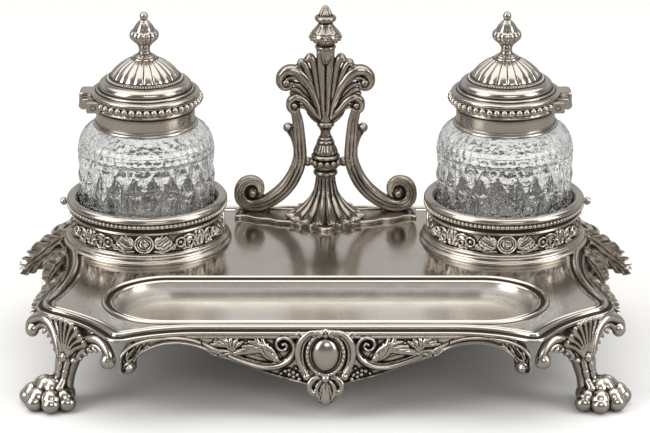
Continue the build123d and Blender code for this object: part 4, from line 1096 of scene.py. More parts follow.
def bead_ring_nodes():
    """A ring of round beads, made from instances and then real."""
    tree = bpy.data.node_groups.new("bead_ring", "GeometryNodeTree")
    face = tree.interface
    face.new_socket(name="Geometry", in_out="INPUT", socket_type="NodeSocketGeometry")
    for label, kind in (
        ("Reach", "NodeSocketFloat"), ("Bead", "NodeSocketFloat"), ("Squash", "NodeSocketFloat"),
        ("Count", "NodeSocketInt"), ("Centre", "NodeSocketVector"), ("Coat", "NodeSocketMaterial"),
    ):
        face.new_socket(name=label, in_out="INPUT", socket_type=kind)
    face.new_socket(name="Geometry", in_out="OUTPUT", socket_type="NodeSocketGeometry")
    nodes, links = tree.nodes, tree.links
    given, result = nodes.new("NodeGroupInput"), nodes.new("NodeGroupOutput")
    given.name, result.name = "given", "result"
    circle = added(nodes, "GeometryNodeMeshCircle", "circle")
    seat = added(nodes, "GeometryNodeInstanceOnPoints", "seat")
    bead = added(nodes, "GeometryNodeMeshUVSphere", "bead", {"Segments": 14, "Rings": 9})
    size = added(nodes, "ShaderNodeCombineXYZ", "size")
    move = added(nodes, "GeometryNodeTransform", "move")
    real = added(nodes, "GeometryNodeRealizeInstances", "real")
    coat = added(nodes, "GeometryNodeSetMaterial", "coat")
    linked(links, (
        (given, "Count", circle, "Vertices"), (given, "Reach", circle, "Radius"),
        (circle, "Mesh", seat, "Points"), (given, "Bead", bead, "Radius"),
        (bead, "Mesh", seat, "Instance"),
    ))
    size.inputs["X"].default_value = 1.0
    size.inputs["Y"].default_value = 1.0
    linked(links, (
        (given, "Squash", size, "Z"), (size, "Vector", seat, "Scale"),
        (seat, "Instances", move, "Geometry"), (given, "Centre", move, "Translation"),
        (move, "Geometry", real, "Geometry"), (real, "Geometry", coat, "Geometry"),
        (given, "Coat", coat, "Material"), (coat, "Geometry", result, "Geometry"),
    ))
    return tree


bead_ring = bead_ring_nodes()


def beads(name, reach, bead, count, height, coat, squash=1.0, centre=(holder_x, holder_y)):
    """A ring of beads as a shape in millimetres, evaluated from the bead ring nodes."""
    blank = placed(name + "_seat", bpy.data.meshes.new(name + "_seat"))
    maker = blank.modifiers.new("beads", "NODES")
    maker.node_group = bead_ring
    wanted = {
        "Reach": float(reach), "Bead": float(bead), "Squash": float(squash), "Count": int(count),
        "Centre": (float(centre[0]), float(centre[1]), float(height)), "Coat": coat,
    }
    for socket in bead_ring.interface.items_tree:
        if socket.in_out == "INPUT" and socket.name in wanted:
            maker[socket.identifier] = wanted[socket.name]
    blank.data.update()
    view = bpy.context.evaluated_depsgraph_get()
    mesh = bpy.data.meshes.new_from_object(blank.evaluated_get(view))
    bpy.data.objects.remove(blank)
    points = np.array([v.co[:] for v in mesh.vertices])
    faces = [[p.vertices[:] for p in mesh.polygons if len(p.vertices) == k] for k in (3, 4)]
    bpy.data.meshes.remove(mesh)
    # Every bead carries a little painted light: shade below zero keeps it bright.
    return points, [np.array(f) for f in faces if f], np.full(len(points), -0.15)


wire_beads = beads("wire", 39.0, 1.1, 108, 62.95, spun_silver)
stud = []
for radius, far in ((1.5, 37.6), (1.3, 40.2), (1.8, 40.5), (2.1, 41.2), (2.0, 42.2), (1.3, 43.1),
    (0.0, 43.4)):
    a = full_turn(24)
    stud.append(np.column_stack([np.full(24, holder_x - far), holder_y + radius * np.cos(a),
        63.3 + radius * np.sin(a)]))
left_wire = piece("left_wire", joined([left_groove, wire_beads, grid(np.array(stud), wrap=True)]),
    spun_silver)

rim = rounded([
    (35.3, 64.4), (35.15, 65.4), (35.5, 66.5), (36.6, 67.3), (37.9, 67.35), (39.1, 66.8),
    (39.85, 65.8), (39.9, 64.9), (39.3, 64.5), (38.2, 64.35), (35.3, 64.4),
], 3)
left_rim = piece("left_rim", spun(rim), spun_silver)
for thing, label, node in (
    (left_flange, "flange", "holder_foot"), (left_band, "band", "holder_band"),
    (left_wire, "wire", "holder_bead_wire"), (left_rim, "rim", "holder_rim"),
):
    for side, item in (("left", thing), ("right", reflected(thing, "right_" + label, 0))):
        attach(item, "stand")
        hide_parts(f"{node}_{side}")


# ---- Bottles ----
# Heavy clear glass, cut round the body with a lattice of deep diamonds under a row of small ones,
# with short flutes on its shoulder. A round well for the ink is sunk in it over a thick base.
def glass_coat():
    """Clear lead glass with a faint smoky tint and slightly waved, hand-cut faces."""
    coat, nodes, links, shader = blank_coat("glass_cut")
    shader.inputs["Transmission Weight"].default_value = 1.0
    shader.inputs["IOR"].default_value = 1.52
    place = added(nodes, "ShaderNodeTexCoord", "place")
    wave = added(nodes, "ShaderNodeTexNoise", "wave", {"Scale": 360.0, "Detail": 2.0})
    links.new(place.outputs["Object"], wave.inputs["Vector"])
    tint = added(nodes, "ShaderNodeMix", "tint",
        {"A": (0.86, 0.87, 0.86, 1), "B": (0.975, 0.98, 0.975, 1)}, data_type="RGBA")
    linked(links, (
        (wave, "Fac", tint, "Factor"), (tint, "Result", shader, "Base Color"),
    ))
    rough = added(nodes, "ShaderNodeMapRange", "rough", {"To Min": 0.01, "To Max": 0.05})
    linked(links, (
        (wave, "Fac", rough, "Value"), (rough, "Result", shader, "Roughness"),
    ))
    relief = added(nodes, "ShaderNodeBump", "relief", {"Strength": 0.75, "Distance": 0.001})
    linked(links, (
        (wave, "Fac", relief, "Height"), (relief, "Normal", shader, "Normal"),
    ))
    return coat


cut_glass = glass_coat()
body_radius, lattice_low, lattice_high, small_high = 34.0, 46.0, 91.0, 96.0
diamonds, tall, lattice_middle = 22, 19.0, 77.5


def cut(radius, height, turn):
    """The cuts: two crossing spirals of V-grooves, a row of small diamonds, and flutes above it."""
    phase = diamonds * turn / (2 * math.pi)
    rise = (height - lattice_middle) / tall
    one, two = (np.abs((phase + k * rise) % 1.0 - 0.5) * 2 for k in (1, -1))
    groove = np.minimum(1 - one, 1 - two)
    main = 1.5 * (1 - np.clip(groove / 0.94, 0, 1))
    window = np.clip((height - lattice_low) / 1.5, 0, 1) * np.clip((lattice_high - height) / 0.8,
        0, 1)
    small = (height - lattice_high) / (small_high - lattice_high)
    fine = np.abs((phase * 2) % 1.0 - 0.5) * 2
    gem = np.clip(fine + np.abs(small - 0.5) * 2 - 0.1, 0, 1)
    fine_window = np.clip((height - lattice_high) / 0.6, 0,
        1) * np.clip((small_high - height) / 0.6, 0, 1)
    fan_window = np.clip((height - 97.0) / 1.5, 0, 1) * np.clip((103.6 - height) / 1.5, 0, 1)
    fan_cut = 0.5 * fine
    outside = radius > 25.0
    depth = main * window + 0.55 * gem * fine_window + fan_cut * fan_window
    return radius - outside * depth, height


body = [(0, 44.0), (14, 44.0), (31.6, 44.0), (32.6, 44.3), (33.4, 44.9), (33.8, 45.6)]
body += [(body_radius, z) for z in np.arange(46.2, 90.8, 0.32)]
body += rounded([
    (34.0, 91.0), (33.8, 93.4), (33.2, 96.0), (32.4, 98.0), (31.4, 100.0), (29.6, 102.0),
    (27.2, 103.3), (25.6, 104.0)
], 5)
body += [(22.2, 104.0), (22.2, 117.5), (17.5, 117.5), (17.5, 108.0)]
body += rounded([(17.5, 102.0), (19.4, 99.6), (23.4, 97.6), (26.4, 95.4), (27.8, 92.4),
    (28.0, 89.0)], 4)
body += [(28.0, 80.0), (28.0, 70.0), (28.0, 60.0), (27.6, 56.6), (26.4, 54.2), (24.0, 53.2),
    (12.0, 53.0), (0.0, 53.0)]
left_glass = piece("left_glass", spun(body, 22 * 24, shaping=cut), cut_glass, crease=24.0)
right_glass = reflected(left_glass, "right_glass", 0)
for thing, side in ((left_glass, "left"), (right_glass, "right")):
    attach(thing, f"bottle_{side}")
    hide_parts(f"bottle_{side}")


# ---- Collars, hinges and lids ----
# A spun collar is cemented on each neck; it carries a ring of beads and two hinge knuckles. The
# domed lid is chased with gadroons over a fine bead line, and its lug turns on a steel pin.
def kept(shape, test):
    """The shape without the faces whose points all fail the test."""
    points, groups, shade = shape
    good = test(points)
    used = np.zeros(len(points), bool)
    faces = []
    for group in groups:
        group = group[good[group].all(axis=1)]
        used[group.reshape(-1)] = True
        faces.append(group)
    place = np.cumsum(used) - 1
    return points[used], [place[g] for g in faces if len(g)], shade[used]


def extruded(profile, low, high, bevel=0.3):
    """A bar along Y from a closed (x, z) profile, with eased ends."""
    profile = np.asarray(profile, float)
    heart = profile.mean(axis=0)
    rings = []
    for scale, y in ((0.0, low), (0.93, low), (1.0, low + bevel), (1.0, high - bevel),
        (0.93, high), (0.0, high)):
        ring = heart + scale * (profile - heart)
        rings.append(np.column_stack([ring[:, 0], np.full(len(ring), y), ring[:, 1]]))
    return grid(np.array(rings), wrap=True)


collar = [(17.6, 119.55), (17.6, 117.6), (22.3, 117.5), (22.3, 104.05)]
collar += rounded([
    (24.6, 104.0), (25.7, 104.1), (26.0, 104.7), (25.7, 105.4), (24.9, 105.9), (24.5, 106.6),
    (24.4, 107.8),
], 3)
collar += [(24.4, 110.0), (24.4, 112.4)]
collar += rounded([
    (24.45, 113.2), (25.0, 113.5), (25.7, 113.9), (25.8, 114.5), (25.4, 115.1), (25.4, 115.5),
    (26.2, 116.0), (26.4, 116.8), (26.3, 118.4), (26.6, 119.3), (26.4, 119.55),
], 3)
collar += [(17.6, 119.55)]
count = len(collar)
shadow = [0.0] * (count - 18) + [0.35] * 14 + [0.1] * 4
collar_shape = spun(collar, 256, dark=shadow)
ring_beads = beads("collar", 27.0, 1.72, 46, 117.6, spun_silver)
ring_beads = kept(ring_beads,
    lambda p: ~((p[:, 0] < holder_x - 20) & (np.abs(p[:, 1] - holder_y) < 9.6)) & ~((p[:,
    0] < holder_x - 20.8) & (p[:, 1] < holder_y) & (p[:, 1] > holder_y - 16)))
hinge_x, hinge_z, knuckle_radius = -119.0, 116.4, 2.4
bend = np.radians(np.linspace(180, 360, 15))
knuckle_round = [
    (hinge_x + knuckle_radius * math.cos(a), hinge_z + knuckle_radius * math.sin(a)) for a in bend
]
knuckle = knuckle_round[:-1] + [(-111.5, 114.0), (-111.5, 119.5), (-119.0, 119.5), (-120.6, 118.6)]
knuckles = [extruded(knuckle, holder_y + a, holder_y + b) for a, b in ((5.2, 9.2), (-9.2, -5.2))]
corner_block = extruded([
    (-117.4, 114.6), (-116.8, 113.9), (-111.0, 113.9), (-110.4, 114.6), (-110.4, 119.0),
    (-111.0, 119.5), (-116.6, 119.5), (-117.4, 118.8),
], holder_y - 15.2, holder_y - 8.8, 0.5)
# The socket round the pin end is painted nearly black: painted shade in the hole.
pin_end = spun([(0.0, 0.2), (1.15, 0.2), (1.15, 0.0), (1.5, 0.0)], 20, dark=[0.9, 0.9, 0.9, 0.3],
    centre=(0.0, 0.0))
pin_end = (pin_end[0][:, [0, 2, 1]] + (-114.0, holder_y - 15.25, 116.7), pin_end[1], pin_end[2])
left_collar = piece("left_collar",
    joined([collar_shape, ring_beads, corner_block, pin_end] + knuckles), spun_silver)

lid = [(17.6, 119.72)] + rounded([
    (25.8, 119.72), (26.7, 119.9), (27.0, 120.5), (26.8, 121.2), (26.0, 121.6), (25.0, 121.85),
    (24.3, 122.1), (24.3, 122.6), (23.9, 123.0), (23.3, 123.2), (22.9, 123.7), (22.9, 124.5),
    (22.5, 125.5), (21.6, 126.4), (20.5, 126.9), (19.3, 127.2), (18.9, 127.5),
], 3)
lid_foot = len(lid)
lid += [(18.2, 127.6), (17.9, 128.2), (18.1, 128.7)]
lid_dome = len(lid)
lid += rounded([
    (17.3, 129.0), (16.7, 130.2), (15.5, 131.8), (14.0, 133.3), (12.4, 134.6), (10.7, 135.8),
    (8.9, 136.9), (7.2, 137.7),
], 5)
lid_crown = len(lid)
lid += [(6.4, 138.0), (6.2, 138.5), (5.6, 138.75), (5.2, 138.6), (1.7, 138.6), (1.7, 136.5),
    (5.0, 136.5)]
lid += rounded([(8.8, 135.2), (12.4, 132.6), (15.6, 129.0), (17.5, 126.0), (17.6, 119.72)], 3)


def off_lobe(turn, count):
    """How far an angle is from the middle of its lobe: 0 there and 1 between two lobes."""
    return np.abs(((turn * count / (2 * math.pi)) % 1.0 - 0.5) * 2)


def gadroons(radius, height, turn):
    """Rounded lobes up the dome, each drawn to a point at the crown."""
    rows = slice(lid_dome, lid_crown)
    lobe = off_lobe(turn, 20)
    share = np.linspace(0, 1, lid_crown - lid_dome)[:, None]
    depth = 1.15 * (1 - np.sqrt(1 - 0.97 * lobe**2.2)) * np.minimum(1,
        6 * share + 0.15) * (1 - 0.45 * share)
    scallop = np.clip(0.10 - share, 0, 0.10) * 10 * lobe**2
    radius[rows] -= 0.75 * depth + 0.35 * scallop
    height[rows] -= 0.75 * depth * (0.3 + 0.7 * share)
    return radius, height


# Painted shade on the lid's neck, in the crease under the dome where the bead line sits.
lid_painted_shade = np.zeros(len(lid))
lid_painted_shade[lid_foot - 2:lid_dome + 1] = 0.55
lid_shape = spun(lid, 20 * 18, shaping=gadroons, dark=lid_painted_shade)
lid_beads = beads("lid", 18.35, 0.62, 84, 128.0, spun_silver)
lug = knuckle_round + [(hinge_x + knuckle_radius, 119.7), (-112.6, 119.75), (-112.6, 121.6),
    (-119.4, 121.7), (-120.6, 121.2), (-121.3, 120.0)]
left_lid = piece("left_lid",
    joined([lid_shape, lid_beads, extruded(lug, holder_y - 4.95, holder_y + 4.95)]), spun_silver)

knop = [(0.0, 133.4), (1.6, 133.4), (1.6, 138.4), (4.9, 138.5)]
knop += rounded([
    (5.2, 138.8), (5.1, 139.3), (4.0, 139.8), (3.2, 140.4), (2.8, 141.4), (2.7, 142.4),
    (2.8, 143.2), (3.1, 144.0), (3.5, 144.7), (4.0, 145.4), (4.9, 146.2),
], 3)
knop_low = len(knop)
knop += rounded([
    (5.9, 147.1), (6.9, 148.2), (7.3, 149.5), (7.1, 150.8), (6.4, 151.8),
], 4)
knop_high = len(knop)
knop += rounded([
    (5.9, 152.1), (5.3, 152.9), (4.7, 154.0), (3.9, 155.2), (2.9, 156.4), (2.0, 157.2),
    (1.5, 157.6), (1.9, 158.3), (2.05, 159.3), (1.8, 160.4), (1.1, 161.2), (0.0, 161.4),
], 3)


def knop_lobes(radius, height, turn):
    """Twelve lobes round the bulb and a leafy cone over it."""
    lobe = off_lobe(turn, 12)
    radius[knop_low:knop_high] -= 0.7 * (1 - np.sqrt(1 - 0.96 * lobe**2.4))
    leafy = off_lobe(turn, 6)
    radius[knop_high:knop_high + 14] -= 0.35 * leafy**2
    return radius, height


left_knop = piece("left_knop", spun(knop, 12 * 14, shaping=knop_lobes), spun_silver)
for thing, label, body, node in (
    (left_collar, "collar", "bottle", "collar"), (left_lid, "lid", "lid", "lid"),
    (left_knop, "knop", "lid", "lid_finial"),
):
    for side, item in (("left", thing), ("right", reflected(thing, "right_" + label, 0))):
        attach(item, f"{body}_{side}")
        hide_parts(f"{node}_{side}")


# ---- Pins and nuts ----
# Plain turned pins in the hinges, a small nut inside each lid and two under the handle's studs.
def plain_metal(name, light, dark, polish):
    """Dull bare metal with a stained, slightly rough face."""
    coat, nodes, links, shader = blank_coat(name)
    shader.inputs["Metallic"].default_value = 1.0
    place = added(nodes, "ShaderNodeTexCoord", "place")
    stain = added(nodes, "ShaderNodeTexNoise", "stain", {"Scale": 450.0, "Detail": 4.0})
    links.new(place.outputs["Object"], stain.inputs["Vector"])
    tone = added(nodes, "ShaderNodeMix", "tone", {"A": (*dark, 1), "B": (*light, 1)},
        data_type="RGBA")
    linked(links, (
        (stain, "Fac", tone, "Factor"), (tone, "Result", shader, "Base Color"),
    ))
    rough = added(nodes, "ShaderNodeMapRange", "rough", {"To Min": polish, "To Max": polish + 0.2})
    linked(links, (
        (stain, "Fac", rough, "Value"), (rough, "Result", shader, "Roughness"),
    ))
    relief = added(nodes, "ShaderNodeBump", "relief", {"Strength": 0.15, "Distance": 0.0005})
    linked(links, (
        (stain, "Fac", relief, "Height"), (relief, "Normal", shader, "Normal"),
    ))
    return coat


pin_steel = plain_metal("steel_dull", (0.46, 0.44, 0.42), (0.20, 0.18, 0.16), 0.3)
nut_brass = plain_metal("brass_dull", (0.52, 0.42, 0.26), (0.24, 0.18, 0.11), 0.35)
for label, coat in (
    ("hinge_pin_left", pin_steel), ("hinge_pin_right", pin_steel), ("finial_nut_left", nut_brass),
    ("finial_nut_right", nut_brass), ("handle_nuts", nut_brass),
):
    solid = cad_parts[label].data
    solid.materials.clear()
    solid.materials.append(coat)


# ---- Handle base ----
# A cast foot plate with a waved front edge and a raised border, held from below by two studs.
handle_y = 76.5
# The handle's silver is the plate's metal in a darker copy: painted shade over all the handle's
# parts.
handle_painted_shade_silver = silver(
    "silver_handle_painted_shade", bump=0.14, Onset=-0.10, Spread=0.42, Mottle=0.12, Polish=0.22,
    Bright=(0.43, 0.39, 0.35, 1.0)
)
wave = [(46.0, 66.6), (43.0, 67.4), (39.6, 66.6), (36.4, 64.2), (32.6, 62.6), (28.6, 62.0),
    (25.0, 59.6), (21.0, 58.4),
        (17.0, 57.6), (13.4, 55.2), (10.4, 54.2), (7.2, 53.2), (4.6, 50.6), (2.2, 48.4),
        (0.0, 47.4)]
front_edge = flow(wave, 90)
base_line = np.concatenate([
    front_edge, (front_edge * (-1, 1))[::-1][1:],
    np.column_stack([np.full(6, -46.2), np.linspace(67.8, 78.9, 7)[1:]]),
    np.column_stack([np.linspace(-45.6, 45.6, 60), np.full(60, 78.9)]),
    np.column_stack([np.full(6, 46.2), np.linspace(78.9, 67.8, 7)[:-1]]),
])
heart = np.array((0.0, 70.0))


def drawn_in(line, inset):
    """A closed line moved inwards by a distance."""
    slope = np.roll(line, -1, axis=0) - np.roll(line, 1, axis=0)
    slope /= np.linalg.norm(slope, axis=1)[:, None] + 1e-9
    inward = np.column_stack([-slope[:, 1], slope[:, 0]])
    inward *= np.sign(((heart - line) * inward).sum(axis=1).mean())
    for _ in range(6):
        inward = (np.roll(inward, 1, axis=0) + 2 * inward + np.roll(inward, -1, axis=0)) / 4
    return line + inset * inward


steps = [(0.0, 44.0), (-0.1, 44.7), (0.1, 45.4), (0.5, 45.9), (1.0, 46.05), (1.6, 45.8),
    (2.1, 45.5), (2.8, 45.55)]
rings = [np.column_stack([drawn_in(base_line, d), np.full(len(base_line), z)]) for d, z in steps]
stud_shapes = []
for s in (-1, 1):
    a = full_turn(20)
    stud_shapes.append(grid(np.array([
        np.column_stack([s * 38.0 + r * np.cos(a), 73.0 + r * np.sin(a), np.full(20, z)])
        for r, z in ((0.0, 44.2), (1.6, 44.2), (1.6, 38.2), (1.2, 37.8), (0.0, 37.8))
    ]), wrap=True))
handle_foot = piece("handle_foot", joined([
    grid(np.array(rings), wrap=True), sheet(steps[-1][1], rings[-1][:, :2]),
    sheet(plate_z, rings[0][:, :2]),
    *stud_shapes,
]), handle_painted_shade_silver)
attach(handle_foot, "stand")
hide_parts("handle_base")


# ---- Handle arms ----
# Two cast S-scrolls with a groove along their middle: a small knob above, a full volute below.
def upright(run, forward=0.0, side=1):
    """Points (x, height over the plate, radius) in the handle's own plane."""
    run = np.asarray(run, float)
    depth = run[:, 3] if run.shape[1] > 3 else np.zeros(len(run))
    return np.column_stack([side * run[:, 0], handle_y - forward - depth, plate_z + run[:, 1],
        run[:, 2]])


arm_run = flow([
    (-15.4, 55.0, 2.2), (-14.0, 49.0, 2.6), (-13.5, 43.0, 2.9), (-13.1, 36.5, 3.1),
    (-13.0, 30.0, 3.3), (-14.6, 23.6, 3.4), (-18.2, 16.6, 3.5), (-23.6, 10.6, 3.5),
    (-30.2, 6.2, 3.3), (-37.2, 4.6, 3.0), (-42.4, 7.0, 2.9), (-43.6, 12.0, 2.7),
    (-41.4, 16.4, 2.5), (-37.2, 17.8, 2.3), (-33.8, 15.8, 2.1), (-33.0, 12.4, 1.9),
    (-34.8, 9.8, 1.6), (-37.2, 9.6, 1.4), (-38.4, 11.0, 1.3),
], 110)
way = np.gradient(arm_run[:, :2], axis=0)
way /= np.linalg.norm(way, axis=1)[:, None]
aside = np.column_stack([-way[:, 1], way[:, 0]])
arm_run[:, 2] *= 1.12
arm_shapes = [tube(upright(arm_run * (1, 1, 0.86)), detail=1, sides=14)]
for s in (-1, 1):
    for d in (-1, 1):
        shift = arm_run.copy()
        shift[:, :2] += s * 0.5 * arm_run[:, 2:3] * aside
        shift[:, 2] *= 0.46
        shift = np.column_stack([shift, d * 0.42 * arm_run[:, 2]])
        arm_shapes.append(tube(upright(shift), detail=1, sides=10))
arm_shapes += [
    ball((-37.6, handle_y, 55.4), (6.4, 1.5, 6.4)),
    tube(upright([(-37.2, 11.2, 2.6), (-37.0, 11.0, 2.6)], forward=0.9)),
    tube(upright([(-37.2, 11.2, 2.6), (-37.0, 11.0, 2.6)], forward=-0.9)),
    ball((-37.1, handle_y - 2.6, 55.1), 1.9), ball((-37.1, handle_y + 2.6, 55.1), 1.9),
    tube(upright([(-13.8, 32.0, 2.0), (-14.8, 39.0, 2.5), (-16.4, 43.8, 2.3), (-18.9, 46.4, 1.7)])),
    tube(upright([(-15.6, 36.0, 1.0), (-16.6, 40.6, 1.3), (-18.4, 43.6, 1.2)])),
    ball((-19.0, handle_y, 90.0), (2.5, 2.6, 2.5)), ball((-19.0, handle_y - 2.0, 90.0), 1.2),
    ball((-19.0, handle_y + 2.0, 90.0), 1.2),
    tube(upright([(-36, 10, 2.2), (-38.5, 12.5, 1.6)], 0), sides=8),
    tube([(-30.0, handle_y, 46.6, 2.0), (-36.4, handle_y, 46.9, 2.4),
    (-41.0, handle_y, 46.4, 1.6)]),
]
left_arm = cast("left_arm", arm_shapes, handle_painted_shade_silver, voxel=0.3)
right_arm = reflected(left_arm, "right_arm", 0)
for thing, side in ((left_arm, "left"), (right_arm, "right")):
    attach(thing, "stand")
    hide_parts(f"handle_arm_{side}")


# ---- Skirt leaf ----
# Long fluted acanthus leaves that fall from the baluster and spread over the handle's foot plate.
skirt_shapes = []
levels = [(21.2, 76.5, 4.4, 4.4), (16.0, 75.8, 5.0, 4.8), (11.0, 74.4, 6.6, 5.4),
    (6.6, 71.8, 10.0, 7.6), (3.6, 68.4, 14.6, 10.4), (2.6, 66.2, 17.0, 13.0)]
heap = [np.array([(w * math.sin(a) * 0.86, y - d * math.cos(a) * 0.86,
    plate_z + z) for a in full_turn(40)]) for z, y, w,
    d in [(0.9, 66.2, 17.2, 13.2)] + levels[::-1]]
heap = [np.tile((0, 66.2, 44.9), (40, 1))] + heap + [np.tile((0, 76.5, 65.4), (40, 1))]
skirt_shapes.append(grid(np.array(heap), wrap=True))
for degrees in np.arange(-180, 180, 24):
    turn_by = math.radians(degrees)
    front = 0.5 + 0.5 * math.cos(turn_by)
    for offset, size in ((0.0, 1.0), (-0.105, 0.62), (0.105, 0.62)):
        a = turn_by + offset
        run = []
        for (z, y, w, d), spread in zip(levels, (0.55, 0.6, 0.8, 1.15, 1.6, 1.9)):
            run.append((w * math.sin(a), y - d * math.cos(a), plate_z + z - (0.3 if offset else 0),
                size * spread))
        z, y, w, d = levels[-1]
        far = 1.10 + 0.06 * front
        run.append((far * w * math.sin(a), y - far * d * math.cos(a), 46.9, 1.2 * size))
        skirt_shapes.append(tube(run, sides=10, detail=4))
skirt = cast("skirt_leaf", skirt_shapes, handle_painted_shade_silver, voxel=0.34)
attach(skirt, "stand")
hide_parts("handle_leaf")


# ---- Baluster ----
# A turned stem with a beaded ring, a ribbed bell and a knot; a bead on each side meets an arm.
stem = [(0.0, 65.0)] + rounded([
    (5.6, 65.0), (6.1, 65.6), (6.2, 66.6), (5.6, 67.4), (5.4, 68.0), (6.2, 68.8), (6.5, 69.8),
    (6.2, 71.6), (6.2, 73.0), (6.6, 74.0), (7.2, 74.5), (7.3, 75.3), (6.7, 75.9), (6.2, 76.4),
], 3)
bell = len(stem)
stem += rounded([(6.3, 77.2), (6.1, 78.2), (5.6, 79.4), (4.9, 80.8), (4.3, 82.0)], 4)
bell_end = len(stem)
stem += rounded([
    (4.6, 82.4), (4.3, 83.2), (3.7, 83.8), (3.7, 84.6), (3.0, 85.4), (2.6, 86.8), (2.5, 88.2),
    (2.8, 89.8), (3.3, 90.4), (4.2, 90.9), (4.5, 91.8), (4.2, 92.8), (3.4, 93.4), (3.4, 94.2),
], 3) + [(0.0, 94.2)]


def ribbed(radius, height, turn):
    """Upright ribs round the bell."""
    lobe = off_lobe(turn, 14)
    radius[bell:bell_end] -= 0.35 * (1 - np.sqrt(1 - 0.95 * lobe**2))
    return radius, height


centre = (0.0, handle_y)
stem_shapes = [
    spun(stem, 196, shaping=ribbed, centre=centre),
    beads("stem", 6.9, 1.6, 13, 71.9, handle_painted_shade_silver, squash=1.15, centre=centre),
    *[ball((s * 9.1, handle_y, 71.8), 2.5) for s in (-1, 1)],
    *[tube([(s * 6.0, handle_y, 71.8, 1.2), (s * 10.6, handle_y, 71.8, 1.1)],
    sides=12) for s in (-1, 1)],
]
baluster = piece("baluster", joined(stem_shapes), handle_painted_shade_silver)
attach(baluster, "stand")
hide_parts("handle_baluster")


# ---- Palmette ----
# A cast fan of fluted lobes, the same on both faces: a broad middle lobe, curling leaves on each
# side of it and two pairs of scrolls with round eyes.
fan_shapes = [
    ball((0, handle_y, 108.0), (6.2, 1.6, 22.0)), ball((0, handle_y, 104.0), (11.0, 1.3, 13.0)),
    tube(upright([(0, 49.8, 3.0), (0, 52.0, 2.8), (0, 55.0, 2.4)]), sides=20),
    tube(upright([(0, 83.0, 4.6), (0, 87.4, 5.0)]), sides=24, flat=0.9),
]
scroll = [(2.4, 51.6, 1.3), (4.2, 59.6, 1.9), (6.4, 65.2, 2.4), (9.2, 70.2, 2.7),
    (12.2, 73.8, 2.8), (15.8, 76.2, 2.7),
          (19.4, 76.2, 2.5), (22.3, 73.6, 2.3), (22.9, 70.2, 2.1), (21.2, 67.6, 1.9),
          (18.6, 67.4, 1.6), (17.6, 69.4, 1.3)]
low_scroll = [(2.6, 51.0, 1.1), (6.8, 55.6, 1.5), (11.0, 60.4, 1.8), (14.6, 62.2, 1.9),
    (17.8, 60.2, 1.8), (18.2, 56.8, 1.6),
              (16.2, 54.6, 1.4), (13.8, 55.6, 1.2)]
for forward in (-1, 1):
    for run, depth in (
        (scroll, 0.9), (low_scroll, 1.0),
        ([(4.8, 57.6, 0.5), (8.6, 66.6, 0.8), (12.6, 71.2, 0.9), (16.2, 72.8, 0.8),
        (19.4, 72.0, 0.6)], 2.0),
        ([(1.0, 52, 0.9), (1.4, 60, 1.4), (1.8, 70, 1.9), (2.3, 80, 2.2), (2.6, 86, 2.0)], 1.5),
        ([(2.2, 54, 0.8), (3.6, 64, 1.4), (4.8, 73, 1.7), (6.0, 79.6, 1.8), (7.6, 83.0, 1.9),
        (9.2, 82.0, 1.5)], 1.4),
        ([(3.4, 57, 0.8), (6.0, 66, 1.3), (8.2, 73.4, 1.6), (10.2, 78.6, 1.7), (12.2, 80.6, 1.6),
        (13.4, 79.0, 1.2)], 1.2),
        ([(5.2, 62, 0.8), (8.4, 70, 1.2), (11.2, 75.2, 1.4), (13.8, 77.8, 1.4), (15.6, 77.4, 1.1)],
        1.0),
        ([(5.0, 58.0, 0.7), (8.8, 64.0, 1.1), (12.6, 68.0, 1.3), (15.6, 69.2, 1.1)], 0.8),
        ([(4.8, 56.4, 0.7), (9.4, 61.8, 1.1), (13.6, 65.6, 1.3), (17.0, 66.4, 1.0)], 0.7),
        ([(5.6, 55.4, 0.7), (10.2, 60.6, 0.9), (14.0, 63.8, 1.1), (17.4, 64.2, 0.9)], 0.6),
        ([(3.0, 50.6, 0.7), (6.6, 53.4, 0.9), (9.8, 56.4, 1.0), (12.0, 57.2, 0.9)], 0.9),
    ):
        for s in (-1, 1):
            fan_shapes.append(tube(upright(run, depth * forward, s), sides=14, detail=6))
    for s in (-1, 1):
        fan_shapes.append(ball((s * 19.8, handle_y - 1.5 * forward, plate_z + 69.9), 2.0))
        fan_shapes.append(ball((s * 15.6, handle_y - 1.4 * forward, plate_z + 57.8), 1.7))
for s in (-1, 1):
    fan_shapes.append(ball((s * 19.6, handle_y, plate_z + 71.0), (4.2, 1.5, 4.2)))
    fan_shapes.append(ball((s * 15.4, handle_y, plate_z + 58.4), (3.0, 1.4, 3.0)))
palmette = cast("palmette", fan_shapes, handle_painted_shade_silver, voxel=0.3)
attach(palmette, "stand")
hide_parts("handle_palmette")


# ---- Handle finial ----
# A small turned urn with a belt of rosettes under a button and a pointed tip, screwed on top.
urn = [(0.0, 131.6)] + rounded([
    (4.8, 131.6), (5.2, 132.2), (5.2, 133.0), (4.6, 133.6), (4.6, 134.2), (5.8, 135.0),
    (7.0, 136.2), (7.7, 137.6), (7.7, 138.8), (7.2, 139.8), (6.9, 140.2), (7.0, 140.6),
    (6.3, 141.4), (5.4, 142.4), (4.4, 143.6), (3.7, 144.6), (3.4, 145.2), (3.9, 145.6),
    (5.0, 146.4), (5.4, 147.4), (5.1, 148.4), (3.9, 148.9), (3.4, 149.3), (3.2, 150.2),
    (2.6, 151.6), (1.9, 152.8), (1.0, 153.9), (0.0, 154.2),
], 3)


def urn_leaves(radius, height, turn):
    """Leaves round the urn's shoulder and ribs on the tip."""
    lobe = off_lobe(turn, 10)
    shoulder = np.clip((height - 140.4) / 0.6, 0, 1) * np.clip((144.6 - height) / 0.8, 0, 1)
    tip = np.clip((height - 149.2) / 0.6, 0, 1) * np.clip((153.4 - height) / 0.8, 0, 1)
    return radius - 0.25 * lobe**2 * shoulder - 0.45 * lobe**2 * tip, height


